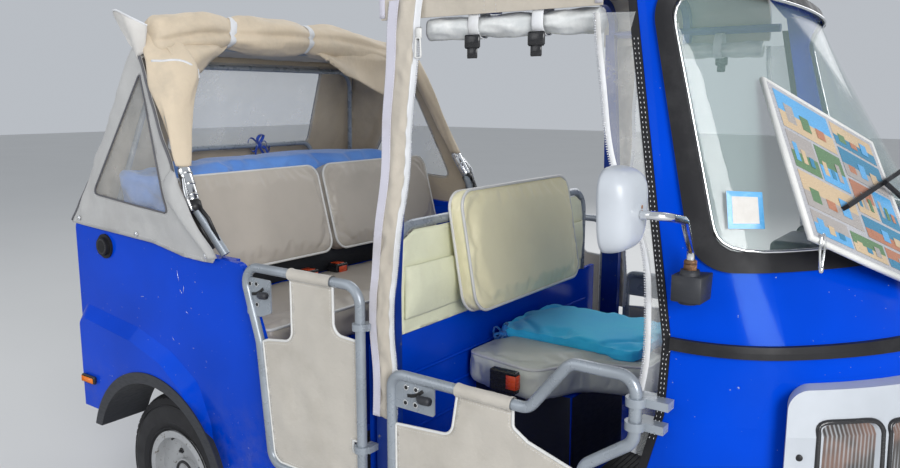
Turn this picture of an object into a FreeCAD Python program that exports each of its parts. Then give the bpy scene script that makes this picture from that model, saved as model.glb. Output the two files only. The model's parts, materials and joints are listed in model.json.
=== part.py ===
import FreeCAD, Part
import math
import os

from FreeCAD import Vector

# Three-wheeled open passenger rickshaw, millimetres.
# +X is forward, +Y is left, +Z is up, and the ground is z = 0.

# Clearances and walls
seat_gap = 0.3
pad_gap = 0.4
body_wall = 16.0
side_wall = 20.0
sheet_wall = 3.0
canvas_wall = 4.0
glass_wall = 5.0
beyond = 2500.0

# Wheels
wheel_radius = 250.0
tyre_width = 115.0
rim_radius = 127.0
rim_width = 104.0
rim_wall = 7.0
hub_radius = 46.0
axle_radius = 13.0
front_axle_x = 1010.0
rear_axle_x = -905.0

# Levels
floor_z = 345.0
floor_wall = 20.0
belt_z = 955.0
tub_top_z = 1005.0
roof_z = 1765.0
windscreen_low_z = 1112.0
windscreen_high_z = roof_z - 163.0

# Plan
tub_half_width = 630.0
sill_half_width = tub_half_width - 8.0
rear_track_half = tub_half_width - 70.0
rear_x = -1357.0
overall_rear_x = -1380.0
overall_front_x = 1380.0
seat_back_x = -915.0
bulkhead_x = -135.0
bulkhead_wall = 12.0

# Steering
steer_rake = math.radians(17.0)
steer_top = Vector(725.0, 0.0, 1010.0)
steer_tube_radius = 18.0
fork_crown_z = 600.0
fork_leg_radius = 16.0
fork_half_width = 106.0

# Doors
door_tube_radius = 12.0
door_plane_y = tub_half_width + 18.0
door_low_z = 440.0
rear_door_top_z = 962.0
rear_door_hinge_x = -112.0
front_door_hinge_x = 565.0
front_door_latch_x = -18.0
front_door_top_z = 777.0
front_door_high_z = 890.0

up = Vector(0.0, 0.0, 1.0)
across = Vector(0.0, 1.0, 0.0)
ahead = Vector(1.0, 0.0, 0.0)


def box(x0, x1, y0, y1, z0, z1):
    return Part.makeBox(x1 - x0, y1 - y0, z1 - z0, Vector(x0, y0, z0))


def rod(start, end, radius):
    axis = end - start
    return Part.makeCylinder(radius, axis.Length, start, axis)


def fused(shapes):
    whole = shapes[0]
    for shape in shapes[1:]:
        whole = whole.fuse(shape)
    return whole.removeSplitter()


def mirrored(shape):
    return shape.mirror(Vector(0.0, 0.0, 0.0), across)


def both_sides(shape):
    return Part.makeCompound([shape, mirrored(shape)])


def corner_arc(before, corner, after, bend):
    inward = (corner - before).normalize()
    outward = (after - corner).normalize()
    turn = inward.getAngle(outward)
    reach = bend * math.tan(turn / 2.0)
    towards = (outward - inward).normalize()
    centre = corner + towards * (bend / math.cos(turn / 2.0))
    return corner - inward * reach, centre - towards * bend, corner + outward * reach


def open_path(points, bend):
    edges = []
    here = points[0]
    for before, corner, after in zip(points, points[1:], points[2:]):
        start, middle, end = corner_arc(before, corner, after, bend)
        edges.append(Part.LineSegment(here, start).toShape())
        edges.append(Part.Arc(start, middle, end).toShape())
        here = end
    edges.append(Part.LineSegment(here, points[-1]).toShape())
    return Part.Wire(edges)


def tube(points, radius, bend):
    path = open_path(points, bend)
    first = points[1] - points[0]
    ring = Part.Wire([Part.makeCircle(radius, points[0], first)])
    return path.makePipeShell([ring], True, False)


def ring_tube(points, radius, bend):
    half = len(points) // 2
    start = (points[0] + points[-1]) * 0.5
    turn = (points[half - 1] + points[half]) * 0.5
    return fused([tube([start] + points[:half] + [turn], radius, bend),
                  tube([turn] + points[half:] + [start], radius, bend)])


def rounded_wire(points, bends):
    edges = []
    count = len(points)
    corners = []
    for i in range(count):
        corners.append(corner_arc(points[i - 1], points[i], points[(i + 1) % count], bends[i]))
    for i in range(count):
        start, middle, end = corners[i]
        edges.append(Part.Arc(start, middle, end).toShape())
        following = corners[(i + 1) % count][0]
        edges.append(Part.LineSegment(end, following).toShape())
    return Part.Wire(edges)


def side_plate(outline, bends, y0, y1):
    points = [Vector(x, y0, z) for x, z in outline]
    return Part.Face(rounded_wire(points, bends)).extrude(Vector(0.0, y1 - y0, 0.0))


def end_plate(outline, bends, x0, x1):
    points = [Vector(x0, y, z) for y, z in outline]
    return Part.Face(rounded_wire(points, bends)).extrude(Vector(x1 - x0, 0.0, 0.0))


def turned(profile, centre, angle=360.0):
    """Profile of (y, radius) pairs turned about the cross axis through centre."""
    points = [Vector(centre.x + r, y, centre.z) for y, r in profile]
    face = Part.Face(Part.makePolygon(points + [points[0]]))
    return face.revolve(Vector(centre.x, 0.0, centre.z), across, angle)


def cushion(low, high, bend):
    block = box(low.x, high.x, low.y, high.y, low.z, high.z)
    return block.makeFillet(bend, block.Edges)


# Front body sections: height, rear edge, start of the curve, depth, half width, corner radius
nose_sections = (
    (floor_z, 505.0, 600.0, 455.0, sill_half_width, 270.0),
    (floor_z + 275.0, 560.0, 605.0, 505.0, sill_half_width + 6.0, 290.0),
    (belt_z - 135.0, 610.0, 622.0, 480.0, sill_half_width, 285.0),
    (belt_z, 612.0, 627.0, 415.0, sill_half_width - 12.0, 255.0),
)
screen_sections = (
    nose_sections[-1],
    (windscreen_high_z + 18.0, 488.0, 503.0, 130.0, tub_half_width - 75.0, 88.0),
)
header_sections = (
    screen_sections[-1],
    (windscreen_high_z + 88.0, 440.0, 455.0, 95.0, tub_half_width - 150.0, 70.0),
)


def oval(section, grow, back):
    """Half oval of three arcs, closed by a straight line behind."""
    z, rear, start, depth, half, radius = section
    depth = depth + grow
    half = half + grow
    radius = radius + grow
    rear = rear - back
    side = half - radius
    front = (depth * depth + side * side - radius * radius) / (2.0 * (depth - radius))
    hub = start + depth - front
    span = front - radius
    join = Vector(hub + front * (start - hub) / span, -front * side / span, z)
    tip = Vector(start + depth, 0.0, z)
    turn = math.atan2(join.y + side, join.x - start)
    middle_turn = (turn - math.pi / 2.0) / 2.0
    corner = Vector(start + radius * math.cos(middle_turn), radius * math.sin(middle_turn) - side, z)
    flip = [Vector(p.x, -p.y, p.z) for p in (Vector(start, -half, z), corner, join)]
    edges = [
        Part.LineSegment(Vector(rear, -half, z), Vector(start, -half, z)).toShape(),
        Part.Arc(Vector(start, -half, z), corner, join).toShape(),
        Part.Arc(join, tip, flip[2]).toShape(),
        Part.Arc(flip[2], flip[1], flip[0]).toShape(),
        Part.LineSegment(flip[0], Vector(rear, half, z)).toShape(),
        Part.LineSegment(Vector(rear, half, z), Vector(rear, -half, z)).toShape(),
    ]
    return Part.Wire(edges)


def hull(sections, grow, back=0.0):
    return Part.makeLoft([oval(s, grow, back) for s in sections], True, True)


def skin(sections, outside, inside, back=80.0):
    return hull(sections, outside).cut(hull(sections, inside, back))


# Front body with its windscreen opening, header and wheel arch
arch_half_width = 292.0
arch_top_z = 705.0
arch_bend = 110.0
arch_low_z = floor_z - 60.0
screen_rear_low_x = 662.0
screen_rear_high_x = 536.0
screen_corner = 62.0


def screen_prism(grow):
    outline = [
        (screen_rear_low_x - grow, windscreen_low_z - grow),
        (beyond, windscreen_low_z - grow),
        (beyond, windscreen_high_z + grow),
        (screen_rear_high_x - grow, windscreen_high_z + grow),
    ]
    bend = screen_corner + grow
    return side_plate(outline, [bend, 1.0, 1.0, bend], -beyond, beyond)


def wheel_well(half, top, x0):
    outline = [(-half, arch_low_z), (half, arch_low_z), (half, top), (-half, top)]
    return end_plate(outline, [1.0, 1.0, arch_bend, arch_bend], x0, beyond)


def front_shell():
    lower = skin(nose_sections, 0.0, -body_wall)
    lower = lower.cut(wheel_well(arch_half_width, arch_top_z, nose_sections[1][1]))
    upper = skin(screen_sections, 0.0, -body_wall)
    upper = upper.cut(screen_prism(0.0))
    hollow = hull(header_sections, -body_wall, 80.0)
    hollow.translate(Vector(0.0, 0.0, -body_wall))
    header = hull(header_sections, 0.0).cut(hollow)
    return fused([lower, upper, header])


def windscreen():
    pane = skin(screen_sections, -glass_wall, -2.0 * glass_wall)
    return pane.common(screen_prism(-seat_gap))


gasket_out = 22.0
gasket_in = 13.0
gasket_thick = 7.0
bead_thick = 10.0
bead_half_height = 11.0
seal_width = 16.0
seal_depth = 18.0
seal_proud = 2.0
seal_low_z = 700.0
seal_high_z = windscreen_high_z - 17.0

# Door hinge loops: x and z of each, rear door then front door
hinge_height = 16.0
rear_hinges = ((rear_door_hinge_x, 560.0), (rear_door_hinge_x, 860.0))
front_hinges = ((front_door_hinge_x, 791.0), (front_door_hinge_x, 837.0))
hinge_arm_depth = 40.0


def body_section(z):
    """Row of the section tables that holds at a height between two of their rows."""
    table = nose_sections if z <= belt_z else screen_sections
    for low, high in zip(table, table[1:]):
        if low[0] <= z <= high[0]:
            share = (z - low[0]) / (high[0] - low[0])
            return tuple(a + (b - a) * share for a, b in zip(low, high))


def body_edge(z):
    """Rear edge and half width of the front body at a height."""
    section = body_section(z)
    return section[1], section[4]


def front_seals():
    ring = skin(screen_sections, gasket_thick, seat_gap)
    ring = ring.common(screen_prism(gasket_out).cut(screen_prism(-gasket_in)))
    levels = (belt_z - bead_half_height, belt_z, belt_z + bead_half_height)
    bead = skin([body_section(z) for z in levels], bead_thick, seat_gap)
    bead = bead.common(box(body_edge(belt_z)[0], beyond, -beyond, beyond, 0.0, roof_z))
    wires = []
    for z in (seal_low_z, nose_sections[2][0], belt_z, seal_high_z):
        rear, half = body_edge(z)
        front = rear - seat_gap
        points = [
            Vector(front - seal_width, -half - seal_proud, z),
            Vector(front, -half - seal_proud, z),
            Vector(front, -half + seal_depth, z),
            Vector(front - seal_width, -half + seal_depth, z),
        ]
        wires.append(Part.makePolygon(points + [points[0]]))
    strip = Part.makeLoft(wires, True, True)
    for x, z in front_hinges:
        strip = strip.cut(box(x, beyond, -beyond, 0.0, z - seat_gap, z + hinge_height + seat_gap))
    return Part.makeCompound([ring, bead, strip, mirrored(strip)])


# Floor, sills, front wheel well and rear seat box
well_wall = 10.0
well_rear_x = 650.0
sill_inner = tub_half_width - 70.0
seat_box_front_x = -520.0
seat_box_top_z = 675.0
tyre_side_gap = 32.5
seat_box_half = rear_track_half - tyre_width / 2.0 - tyre_side_gap
seat_box_wall = 16.0
sill_rear_x = -344.7
sill_top_z = 410.0
head_radius = 34.0
head_high_z = 800.0


def steer_point(z):
    drop = steer_top.z - z
    return Vector(steer_top.x + drop * math.tan(steer_rake), 0.0, z)


def floor_pan():
    tub_inner = tub_half_width - side_wall - seat_gap
    nose = hull(nose_sections, -body_wall - seat_gap, beyond)
    top = floor_z + floor_wall
    nose_rear = nose_sections[0][1] - seat_gap
    well_x = well_rear_x - well_wall
    base = box(seat_box_front_x - 80.0, sill_rear_x, -tub_inner, tub_inner, floor_z, top)
    middle = box(sill_rear_x, nose_rear, -sill_half_width, sill_half_width, floor_z, top)
    front = box(nose_rear, well_x, -beyond, beyond, floor_z, top).common(nose)
    sill = box(sill_rear_x, nose_rear, -sill_half_width, -sill_inner, floor_z, sill_top_z)
    well = wheel_well(arch_half_width + well_wall, arch_top_z + well_wall, well_x)
    well = well.cut(wheel_well(arch_half_width, arch_top_z, well_rear_x)).common(nose)
    well = well.fuse(rod(steer_point(head_high_z), steer_point(arch_top_z + 2.0), head_radius))
    bore = rod(steer_point(head_high_z + 20.0), steer_point(arch_top_z - 40.0), steer_tube_radius + seat_gap)
    well = well.cut(bore)
    seat = box(seat_back_x + 15.0, seat_box_front_x, -seat_box_half, seat_box_half, floor_z, seat_box_top_z)
    inner = seat_box_half - seat_box_wall
    seat = seat.cut(box(-beyond, seat_box_front_x - seat_box_wall, -inner, inner, -beyond,
                        seat_box_top_z - seat_box_wall))
    return fused([base, middle, front, well, seat, sill, mirrored(sill)])


# Tub: side walls with arches, rear wall, deck
arch_x = -945.0
arch_z = wheel_radius
arch_radius = wheel_radius + 50.0
flare_width = 30.0
flare_lip = 4.0
skirt_x = -1226.0
rear_low_z = 400.0
tub_side_outline = [
    (rear_x, rear_low_z), (skirt_x, rear_low_z), (skirt_x, floor_z), (sill_rear_x, floor_z),
    (sill_rear_x, 440.0), (-448.0, 690.0), (-497.0, 819.0), (-545.0, 958.0), (-655.0, 962.0),
    (-760.0, 975.0), (-1125.0, 995.0), (rear_x, tub_top_z),
]
tub_side_bends = [30.0, 8.0, 8.0, 20.0, 30.0, 40.0, 60.0, 38.0, 60.0, 60.0, 60.0, 28.0]
# Raised panel over the wheel, its foot on the wall and its flat top
blister_low = [(-1340.0, 300.0), (-690.0, 300.0), (-708.0, 470.0), (-760.0, 585.0), (-880.0, 655.0),
               (-1040.0, 700.0), (-1340.0, 735.0)]
blister_bends = [5.0, 5.0, 90.0, 70.0, 120.0, 120.0, 30.0]
blister_high = [(-1320.0, 300.0), (-728.0, 300.0), (-745.0, 455.0), (-790.0, 552.0), (-895.0, 622.0),
                (-1045.0, 665.0), (-1320.0, 700.0)]
blister_y = tub_half_width + 32.0
upper_wall = 40.0
upper_low_z = 690.0
upper_high_z = 960.0
upper_front_x = -600.0


def rear_side():
    wall = side_plate(tub_side_outline, tub_side_bends, -tub_half_width, -tub_half_width + side_wall)
    upper = box(rear_x + 25.0, upper_front_x, -tub_half_width, -tub_half_width + upper_wall, upper_low_z,
                upper_high_z)
    low = rounded_wire([Vector(x, -tub_half_width, z) for x, z in blister_low], blister_bends)
    high = rounded_wire([Vector(x, -blister_y, z) for x, z in blister_high], blister_bends)
    bulge = Part.makeLoft([low, high], True, True)
    bulge = bulge.cut(box(-beyond, skirt_x, -beyond, 0.0, 0.0, rear_low_z))
    bulge = bulge.cut(box(-beyond, 0.0, -beyond, 0.0, 0.0, floor_z))
    hole = rod(Vector(arch_x, -beyond, arch_z), Vector(arch_x, 0.0, arch_z), arch_radius)
    return fused([wall, upper, bulge]).cut(hole)


lid_half = 330.0
lid_low_z = 455.0
lid_high_z = 725.0
lid_gap = 5.0
lid_wall = 14.0
slot_rows = 4
slot_pitch = 36.0
slot_height = 12.0
slot_length = 190.0
slot_y = 160.0
bumper_z = 770.0
bumper_half_height = 30.0
bumper_half = tub_half_width - 90.0
deck_wall = 20.0
seat_back_wall = 12.0
hinge_pin_radius = 5.0
hinge_back = 10.3
lid_hinge_x = rear_x - hinge_back
lid_hinge_ys = (-200.0, 200.0)
knuckle_half = 15.0
knuckle_wall = 4.0
ear_gap = 0.6
ear_wall = 6.4
plate_hole_radius = 3.5
plate_hole_spacing = 160.0
plate_z = 870.0


def lid_hinge_pin(y):
    """Pin across two ears on the rear wall."""
    near = knuckle_half + ear_gap
    far = near + ear_wall
    start = Vector(lid_hinge_x, y - far + 1.0, lid_high_z)
    pin = rod(start, Vector(lid_hinge_x, y + far - 1.0, lid_high_z), hinge_pin_radius)
    ear = box(lid_hinge_x - 8.0, rear_x + 1.0, near, far, lid_high_z - 3.0, lid_high_z + 9.0)
    ears = [ear, mirrored(ear)]
    for shape in ears:
        shape.translate(across * y)
    return fused([pin] + ears)


def rear_panel():
    inner = tub_half_width - side_wall - seat_gap
    wall = box(rear_x, rear_x + side_wall, -inner, inner, rear_low_z, tub_top_z)
    wall = wall.cut(box(-beyond, 0.0, -lid_half, lid_half, lid_low_z, lid_high_z))
    half = tub_half_width - upper_wall - seat_gap
    back_x = seat_back_x - seat_back_wall
    deck = box(rear_x + side_wall, back_x, -half, half, tub_top_z - deck_wall, tub_top_z)
    back = box(back_x, seat_back_x, -half, half, seat_box_top_z + seat_gap, tub_top_z)
    bar = cushion(Vector(overall_rear_x, -bumper_half, bumper_z - bumper_half_height),
                  Vector(rear_x + 1.0, bumper_half, bumper_z + bumper_half_height), 9.0)
    panel = fused([wall, deck, back, bar] + [lid_hinge_pin(y) for y in lid_hinge_ys])
    for side in (-1.0, 1.0):
        hole = Vector(rear_x - 5.0, side * plate_hole_spacing / 2.0, plate_z)
        panel = panel.cut(rod(hole, hole + ahead * (side_wall + 10.0), plate_hole_radius))
    return panel


def engine_lid():
    lid = box(rear_x, rear_x + lid_wall, -lid_half + lid_gap, lid_half - lid_gap,
              lid_low_z + lid_gap, lid_high_z - lid_gap)
    for row in range(slot_rows):
        z = lid_low_z + 70.0 + row * slot_pitch
        for side in (-1.0, 1.0):
            y = side * slot_y - slot_length / 2.0
            lid = lid.cut(box(-beyond, 0.0, y, y + slot_length, z, z + slot_height))
    for y in lid_hinge_ys:
        low = Vector(lid_hinge_x, y - knuckle_half, lid_high_z)
        high = Vector(lid_hinge_x, y + knuckle_half, lid_high_z)
        neck = box(lid_hinge_x - knuckle_wall, rear_x + 1.0, y - knuckle_half, y + knuckle_half,
                   lid_high_z - 24.0, lid_high_z - lid_gap)
        lid = fused([lid, rod(low, high, hinge_pin_radius + knuckle_wall), neck])
        lid = lid.cut(rod(low - across, high + across, hinge_pin_radius + seat_gap))
    return lid


def arch_trim():
    face = -blister_y - seat_gap
    flare = turned([(face - flare_lip, arch_radius - flare_lip), (face - flare_lip, arch_radius + flare_width),
                    (face, arch_radius + flare_width), (face, arch_radius - seat_gap),
                    (face + 160.0, arch_radius - seat_gap), (face + 160.0, arch_radius - flare_lip)],
                   Vector(arch_x, 0.0, arch_z))
    return flare.common(box(-beyond, 0.0, -beyond, 0.0, floor_z + 5.0, beyond))


# Lamps, cap and small fittings
lamp_radius = 25.0
lamp_depth = 22.0
lamp_spacing = 56.0
lamp_y = tub_half_width - 55.0
lamp_top_z = 965.0
lamp_rows = 3
marker_x = -1276.0
marker_z = 497.0
marker_half_length = 36.0
marker_half_height = 13.0
marker_depth = 12.0


def rear_lamps():
    face = -blister_y - seat_gap
    marker = cushion(Vector(marker_x - marker_half_length, face - marker_depth, marker_z - marker_half_height),
                     Vector(marker_x + marker_half_length, face, marker_z + marker_half_height), 5.0)
    shapes = [marker, mirrored(marker)]
    for side in (-1.0, 1.0):
        for row in range(lamp_rows):
            start = Vector(rear_x - seat_gap, side * lamp_y, lamp_top_z - row * lamp_spacing)
            shapes.append(rod(start, start - ahead * lamp_depth, lamp_radius))
    return Part.makeCompound(shapes)


def fuel_cap():
    start = Vector(-1188.0, -tub_half_width - seat_gap, 936.0)
    return fused([rod(start, start - across * 6.0, 38.0), rod(start, start - across * 16.0, 28.0)])


# Lamp housings stand out from the body; their outer side leans in towards the front
housing_grow = 34.0
housing_low_z = 655.0
housing_high_z = 900.0
housing_inner_y = 345.0
housing_side = Vector(805.0, -557.0, 0.0)
housing_lean = 0.25
housing_bend = 34.0
lens_step = 6.0
lamp_bend = 14.0

# Lamp openings in each housing: inner and outer half widths, low and high edges
lamp_openings = (
    (484.0, 556.0, 690.0, 842.0),
    (372.0, 466.0, 690.0, 838.0),
)


def lamp_region(span, shrink):
    inner, outer, low, high = span
    outline = [(-outer + shrink, low + shrink), (-inner - shrink, low + shrink),
               (-inner - shrink, high - shrink), (-outer + shrink, high - shrink)]
    return end_plate(outline, [lamp_bend] * 4, 0.0, beyond)


def headlamp_housing():
    x = housing_side.x + (housing_side.y + beyond) * housing_lean
    points = [Vector(x, -beyond, housing_low_z), Vector(2.0 * beyond, -beyond, housing_low_z),
              Vector(2.0 * beyond, -beyond, housing_high_z), Vector(x, -beyond, housing_high_z)]
    face = Part.Face(rounded_wire(points, [housing_bend, 1.0, 1.0, housing_bend]))
    leaning = face.extrude(Vector(-housing_lean, 1.0, 0.0) * beyond)
    outline = [(-beyond, housing_low_z), (-housing_inner_y, housing_low_z), (-housing_inner_y, housing_high_z),
               (-beyond, housing_high_z)]
    block = skin(nose_sections, housing_grow, seat_gap).common(leaning)
    block = block.common(end_plate(outline, [1.0, housing_bend, housing_bend, 1.0], 0.0, beyond))
    for span in lamp_openings:
        block = block.cut(lamp_region(span, 0.0))
    return block


def headlamp_lenses():
    block = skin(nose_sections, housing_grow - lens_step, seat_gap)
    lenses = [block.common(lamp_region(span, seat_gap)) for span in lamp_openings]
    return Part.makeCompound(lenses + [mirrored(lens) for lens in lenses])


# Steering fork, handlebar and front fender
crown = steer_point(fork_crown_z)
crown_radius = 23.0
front_hub = Vector(front_axle_x, 0.0, wheel_radius)
fender_centre = Vector(1050.0, 0.0, wheel_radius + 12.0)
fender_radius = overall_front_x - fender_centre.x
fender_half = 86.0
fender_drop = 46.0
fender_start = 12.0
fender_sweep = 204.0
lug_down = 104.0
lug_inner = 60.0
lug_radius = 9.0


def steering_fork():
    shapes = [rod(steer_top, crown, steer_tube_radius)]
    reach = across * (fork_half_width + 6.0)
    shapes.append(rod(crown - reach, crown + reach, crown_radius))
    for side in (-1.0, 1.0):
        offset = across * (side * fork_half_width)
        shapes.append(rod(crown + offset, front_hub + offset, fork_leg_radius))
    reach = across * (fork_half_width + 14.0)
    shapes.append(rod(front_hub - reach, front_hub + reach, axle_radius))
    return fused(shapes)


def front_fender():
    c = fender_centre
    arcs = []
    for wall in (0.0, sheet_wall):
        side = fender_half - wall
        top = c.x + fender_radius - wall
        arcs.append((Vector(top - fender_drop, -side, c.z), Vector(top, 0.0, c.z),
                     Vector(top - fender_drop, side, c.z)))
    outer, inner = arcs
    edges = [Part.Arc(*outer).toShape(), Part.LineSegment(outer[2], inner[2]).toShape(),
             Part.Arc(inner[2], inner[1], inner[0]).toShape(), Part.LineSegment(inner[0], outer[0]).toShape()]
    face = Part.Face(Part.Wire(edges))
    face.rotate(c, across, fender_start)
    shapes = [face.revolve(c, across, -fender_sweep)]
    spot = crown + (front_hub - crown).normalize() * lug_down
    lug_outer = fork_half_width - fork_leg_radius - seat_gap
    for side in (-1.0, 1.0):
        shapes.append(rod(spot + across * (side * lug_inner), spot + across * (side * lug_outer), lug_radius))
    return fused(shapes)


grip_half = 330.0
bar_middle_half = 150.0
bar_radius = 11.0
bar_bend = 90.0
bar_back = 40.0
grip_back = 95.0
stem_radius = 22.0
stem_length = 46.0
pod_half = 95.0


def handlebar():
    axis = Vector(-math.sin(steer_rake), 0.0, math.cos(steer_rake))
    stem = rod(steer_top + axis * seat_gap, steer_top + axis * stem_length, stem_radius)
    middle = steer_top + axis * (stem_length / 2.0)
    right = [middle + Vector(-grip_back, -grip_half, 0.0), middle + Vector(-bar_back, -bar_middle_half, 6.0)]
    left = [Vector(p.x, -p.y, p.z) for p in reversed(right)]
    bar = tube(right + left, bar_radius, bar_bend)
    pod = cushion(middle + Vector(-78.0, -pod_half, -12.0), middle + Vector(14.0, pod_half, 40.0), 14.0)
    return fused([bar, stem, pod])


# Wheels
def tyre(centre):
    half = tyre_width / 2.0
    bead = rim_width / 2.0 - rim_wall - seat_gap
    r0 = rim_radius + seat_gap
    profile = [(-bead, r0), (bead, r0), (bead, r0 + 16.0), (half, r0 + 44.0), (half - 2.0, wheel_radius - 36.0),
               (half - 14.0, wheel_radius - 12.0), (half - 34.0, wheel_radius),
               (-half + 34.0, wheel_radius), (-half + 14.0, wheel_radius - 12.0),
               (-half + 2.0, wheel_radius - 36.0), (-half, r0 + 44.0), (-bead, r0 + 16.0)]
    shape = turned(profile, centre)
    shape.translate(Vector(0.0, centre.y, 0.0))
    return shape


def rim(centre, side):
    half = rim_width / 2.0
    wall = rim_wall
    lip = rim_radius + 14.0
    r1 = rim_radius
    r0 = rim_radius - wall
    bore = axle_radius + seat_gap
    disc = side * 12.0
    profile = [(-half, lip), (-half + wall, lip), (-half + wall, r1), (half - wall, r1), (half - wall, lip),
               (half, lip), (half, r0), (-half, r0)]
    barrel = turned(profile, centre)
    plate = turned([(disc - 4.0, hub_radius), (disc - 10.0, r0), (disc - 2.0, r0), (disc + 4.0, hub_radius)],
                   centre)
    hub = turned([(-30.0, bore), (-30.0, hub_radius), (disc + 18.0, hub_radius), (disc + 18.0, bore)], centre)
    shape = fused([barrel, plate, hub])
    shape.translate(Vector(0.0, centre.y, 0.0))
    return shape


def wheel_centre(x, y):
    return Vector(x, y, wheel_radius)


# Chassis, rear axle and engine
rail_y = 250.0
rail_half = 25.0
rail_low_z = 285.0
rail_front_x = 600.0
rail_rear_x = -1300.0
crossbar_xs = (-1290.0, -620.0, -200.0, 200.0, 590.0)
crossbar_half = 20.0
crossbar_inset = 5.0


def chassis():
    high = floor_z - seat_gap
    shapes = []
    for y in (-rail_y, rail_y):
        shapes.append(box(rail_rear_x, rail_front_x, y - rail_half, y + rail_half, rail_low_z, high))
    for x in crossbar_xs:
        shapes.append(box(x - crossbar_half, x + crossbar_half, -rail_y, rail_y, rail_low_z + crossbar_inset,
                          high - crossbar_inset))
    return fused(shapes)


pivot_x = -640.0
pivot_z = wheel_radius + 20.0
pivot_radius = 20.0
arm_radius = 24.0
arm_y = 300.0
drum_radius = 78.0
drum_inner_y = rear_track_half - 130.0
drum_outer_y = rear_track_half - 32.0


def swing_arm():
    def spot(x, y, z):
        return Vector(x, -y, z)

    stub = rod(spot(rear_axle_x, arm_y, wheel_radius), spot(rear_axle_x, rear_track_half + 45.0, wheel_radius),
               axle_radius)
    arm = rod(spot(pivot_x, arm_y, pivot_z), spot(rear_axle_x, drum_inner_y + 10.0, wheel_radius), arm_radius)
    pivot = rod(spot(pivot_x, rail_y + rail_half + seat_gap, pivot_z), spot(pivot_x, arm_y + 40.0, pivot_z),
                pivot_radius)
    drum = rod(spot(rear_axle_x, drum_inner_y, wheel_radius), spot(rear_axle_x, drum_outer_y, wheel_radius),
               drum_radius)
    return fused([stub, arm, pivot, drum])


engine_half = 240.0
gearbox_half = 150.0


def engine():
    return fused([box(-1240.0, -800.0, -engine_half, engine_half, floor_z, 640.0),
                  box(-1100.0, -820.0, -gearbox_half, gearbox_half, wheel_radius - 10.0, floor_z)])


# Rear seat
bench_front_x = -500.0
bench_top_z = 780.0
bench_bend = 26.0
bench_half = tub_half_width - upper_wall - 2.0
backrest_low_x = -812.0
backrest_lean = 81.0
backrest_low_z = 872.0
backrest_high_z = 1172.0
backrest_thick = 64.0
backrest_half = 288.0
backrest_middle_y = bench_half / 2.0 + 6.0
backrest_bend = 44.0
shelf_rear_x = -1200.0
shelf_front_x = -962.0
shelf_top_z = 1168.0
shelf_half = bench_half - 28.0
shelf_bend = 20.0


def bench():
    return cushion(Vector(seat_back_x + 10.0, -bench_half, seat_box_top_z + pad_gap),
                   Vector(bench_front_x, bench_half, bench_top_z), bench_bend)


def leaning_pad(low_x, lean, low_z, high_z, half, middle, thick, bend):
    outline = [(middle - half, low_z), (middle + half, low_z), (middle + half, high_z), (middle - half, high_z)]
    pad = end_plate(outline, [bend] * 4, low_x - thick, low_x)
    pad.rotate(Vector(low_x, 0.0, low_z), across, -math.degrees(math.atan2(lean, high_z - low_z)))
    return pad


def rear_backrest():
    return leaning_pad(backrest_low_x, backrest_lean, backrest_low_z, backrest_high_z, backrest_half,
                       -backrest_middle_y, backrest_thick, backrest_bend)


def shelf_cover():
    return cushion(Vector(shelf_rear_x, -shelf_half, tub_top_z + pad_gap),
                   Vector(shelf_front_x, shelf_half, shelf_top_z), shelf_bend)


# Driver's seat: a wide rear part with a narrower nose, a loose pad laid off to the left, a backrest
driver_low_x = -18.0
driver_lean = 58.0
driver_low_z = 838.0
driver_high_z = 1158.0
driver_back_half = 290.0
driver_back_middle_y = -8.0
driver_back_thick = 49.0
driver_back_bend = 50.0
driver_box_half = 165.0
driver_box_wall = 12.0
driver_box_rear_x = -118.0
driver_box_front_x = 190.0
driver_box_top_z = 612.0
driver_seat_top_z = 704.0
driver_seat_edge = 22.0
# Right half of the seat's plan, rear to front: x, half width, bend
driver_seat_plan = ((-105.0, 225.0, 30.0), (128.0, 266.0, 60.0), (205.0, 122.0, 60.0), (362.0, 58.0, 36.0))
driver_pad_top_z = 738.0
driver_pad_plan = ((-106.0, -72.0), (325.0, -72.0), (325.0, 262.0), (-106.0, 262.0))
driver_pad_bend = 34.0
driver_pad_edge = 13.0


def driver_backrest():
    return leaning_pad(driver_low_x, driver_lean, driver_low_z, driver_high_z, driver_back_half,
                       driver_back_middle_y, driver_back_thick, driver_back_bend)


def driver_seat_box():
    base_z = floor_z + floor_wall + seat_gap
    outer = box(driver_box_rear_x, driver_box_front_x, -driver_box_half, driver_box_half, base_z, driver_box_top_z)
    inner = driver_box_half - driver_box_wall
    return outer.cut(box(driver_box_rear_x + driver_box_wall, driver_box_front_x - driver_box_wall, -inner, inner,
                         0.0, driver_box_top_z - driver_box_wall))


def plan_pad(outline, bends, z0, z1, edge):
    wire = rounded_wire([Vector(x, y, z0) for x, y in outline], bends)
    pad = Part.Face(wire).extrude(up * (z1 - z0))
    rims = [e for e in pad.Edges if abs(e.BoundBox.ZLength) < 0.01]
    return pad.makeFillet(edge, rims)


def driver_seat():
    right = [(x, -half) for x, half, bend in driver_seat_plan]
    left = [(x, half) for x, half, bend in reversed(driver_seat_plan)]
    bends = [bend for x, half, bend in driver_seat_plan]
    return plan_pad(right + left, bends + bends[::-1], driver_box_top_z + pad_gap, driver_seat_top_z,
                    driver_seat_edge)


def driver_pad():
    return plan_pad(driver_pad_plan, [driver_pad_bend] * 4, driver_seat_top_z + pad_gap, driver_pad_top_z,
                    driver_pad_edge)


# Bulkhead behind the driver
grab_radius = 12.0
grab_x = bulkhead_x + 6.0
grab_half = sill_inner - 60.0
grab_z = 1080.0
grab_bend = 70.0
bulkhead_top_z = 806.0
cover_half_wall = 5.0


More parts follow.
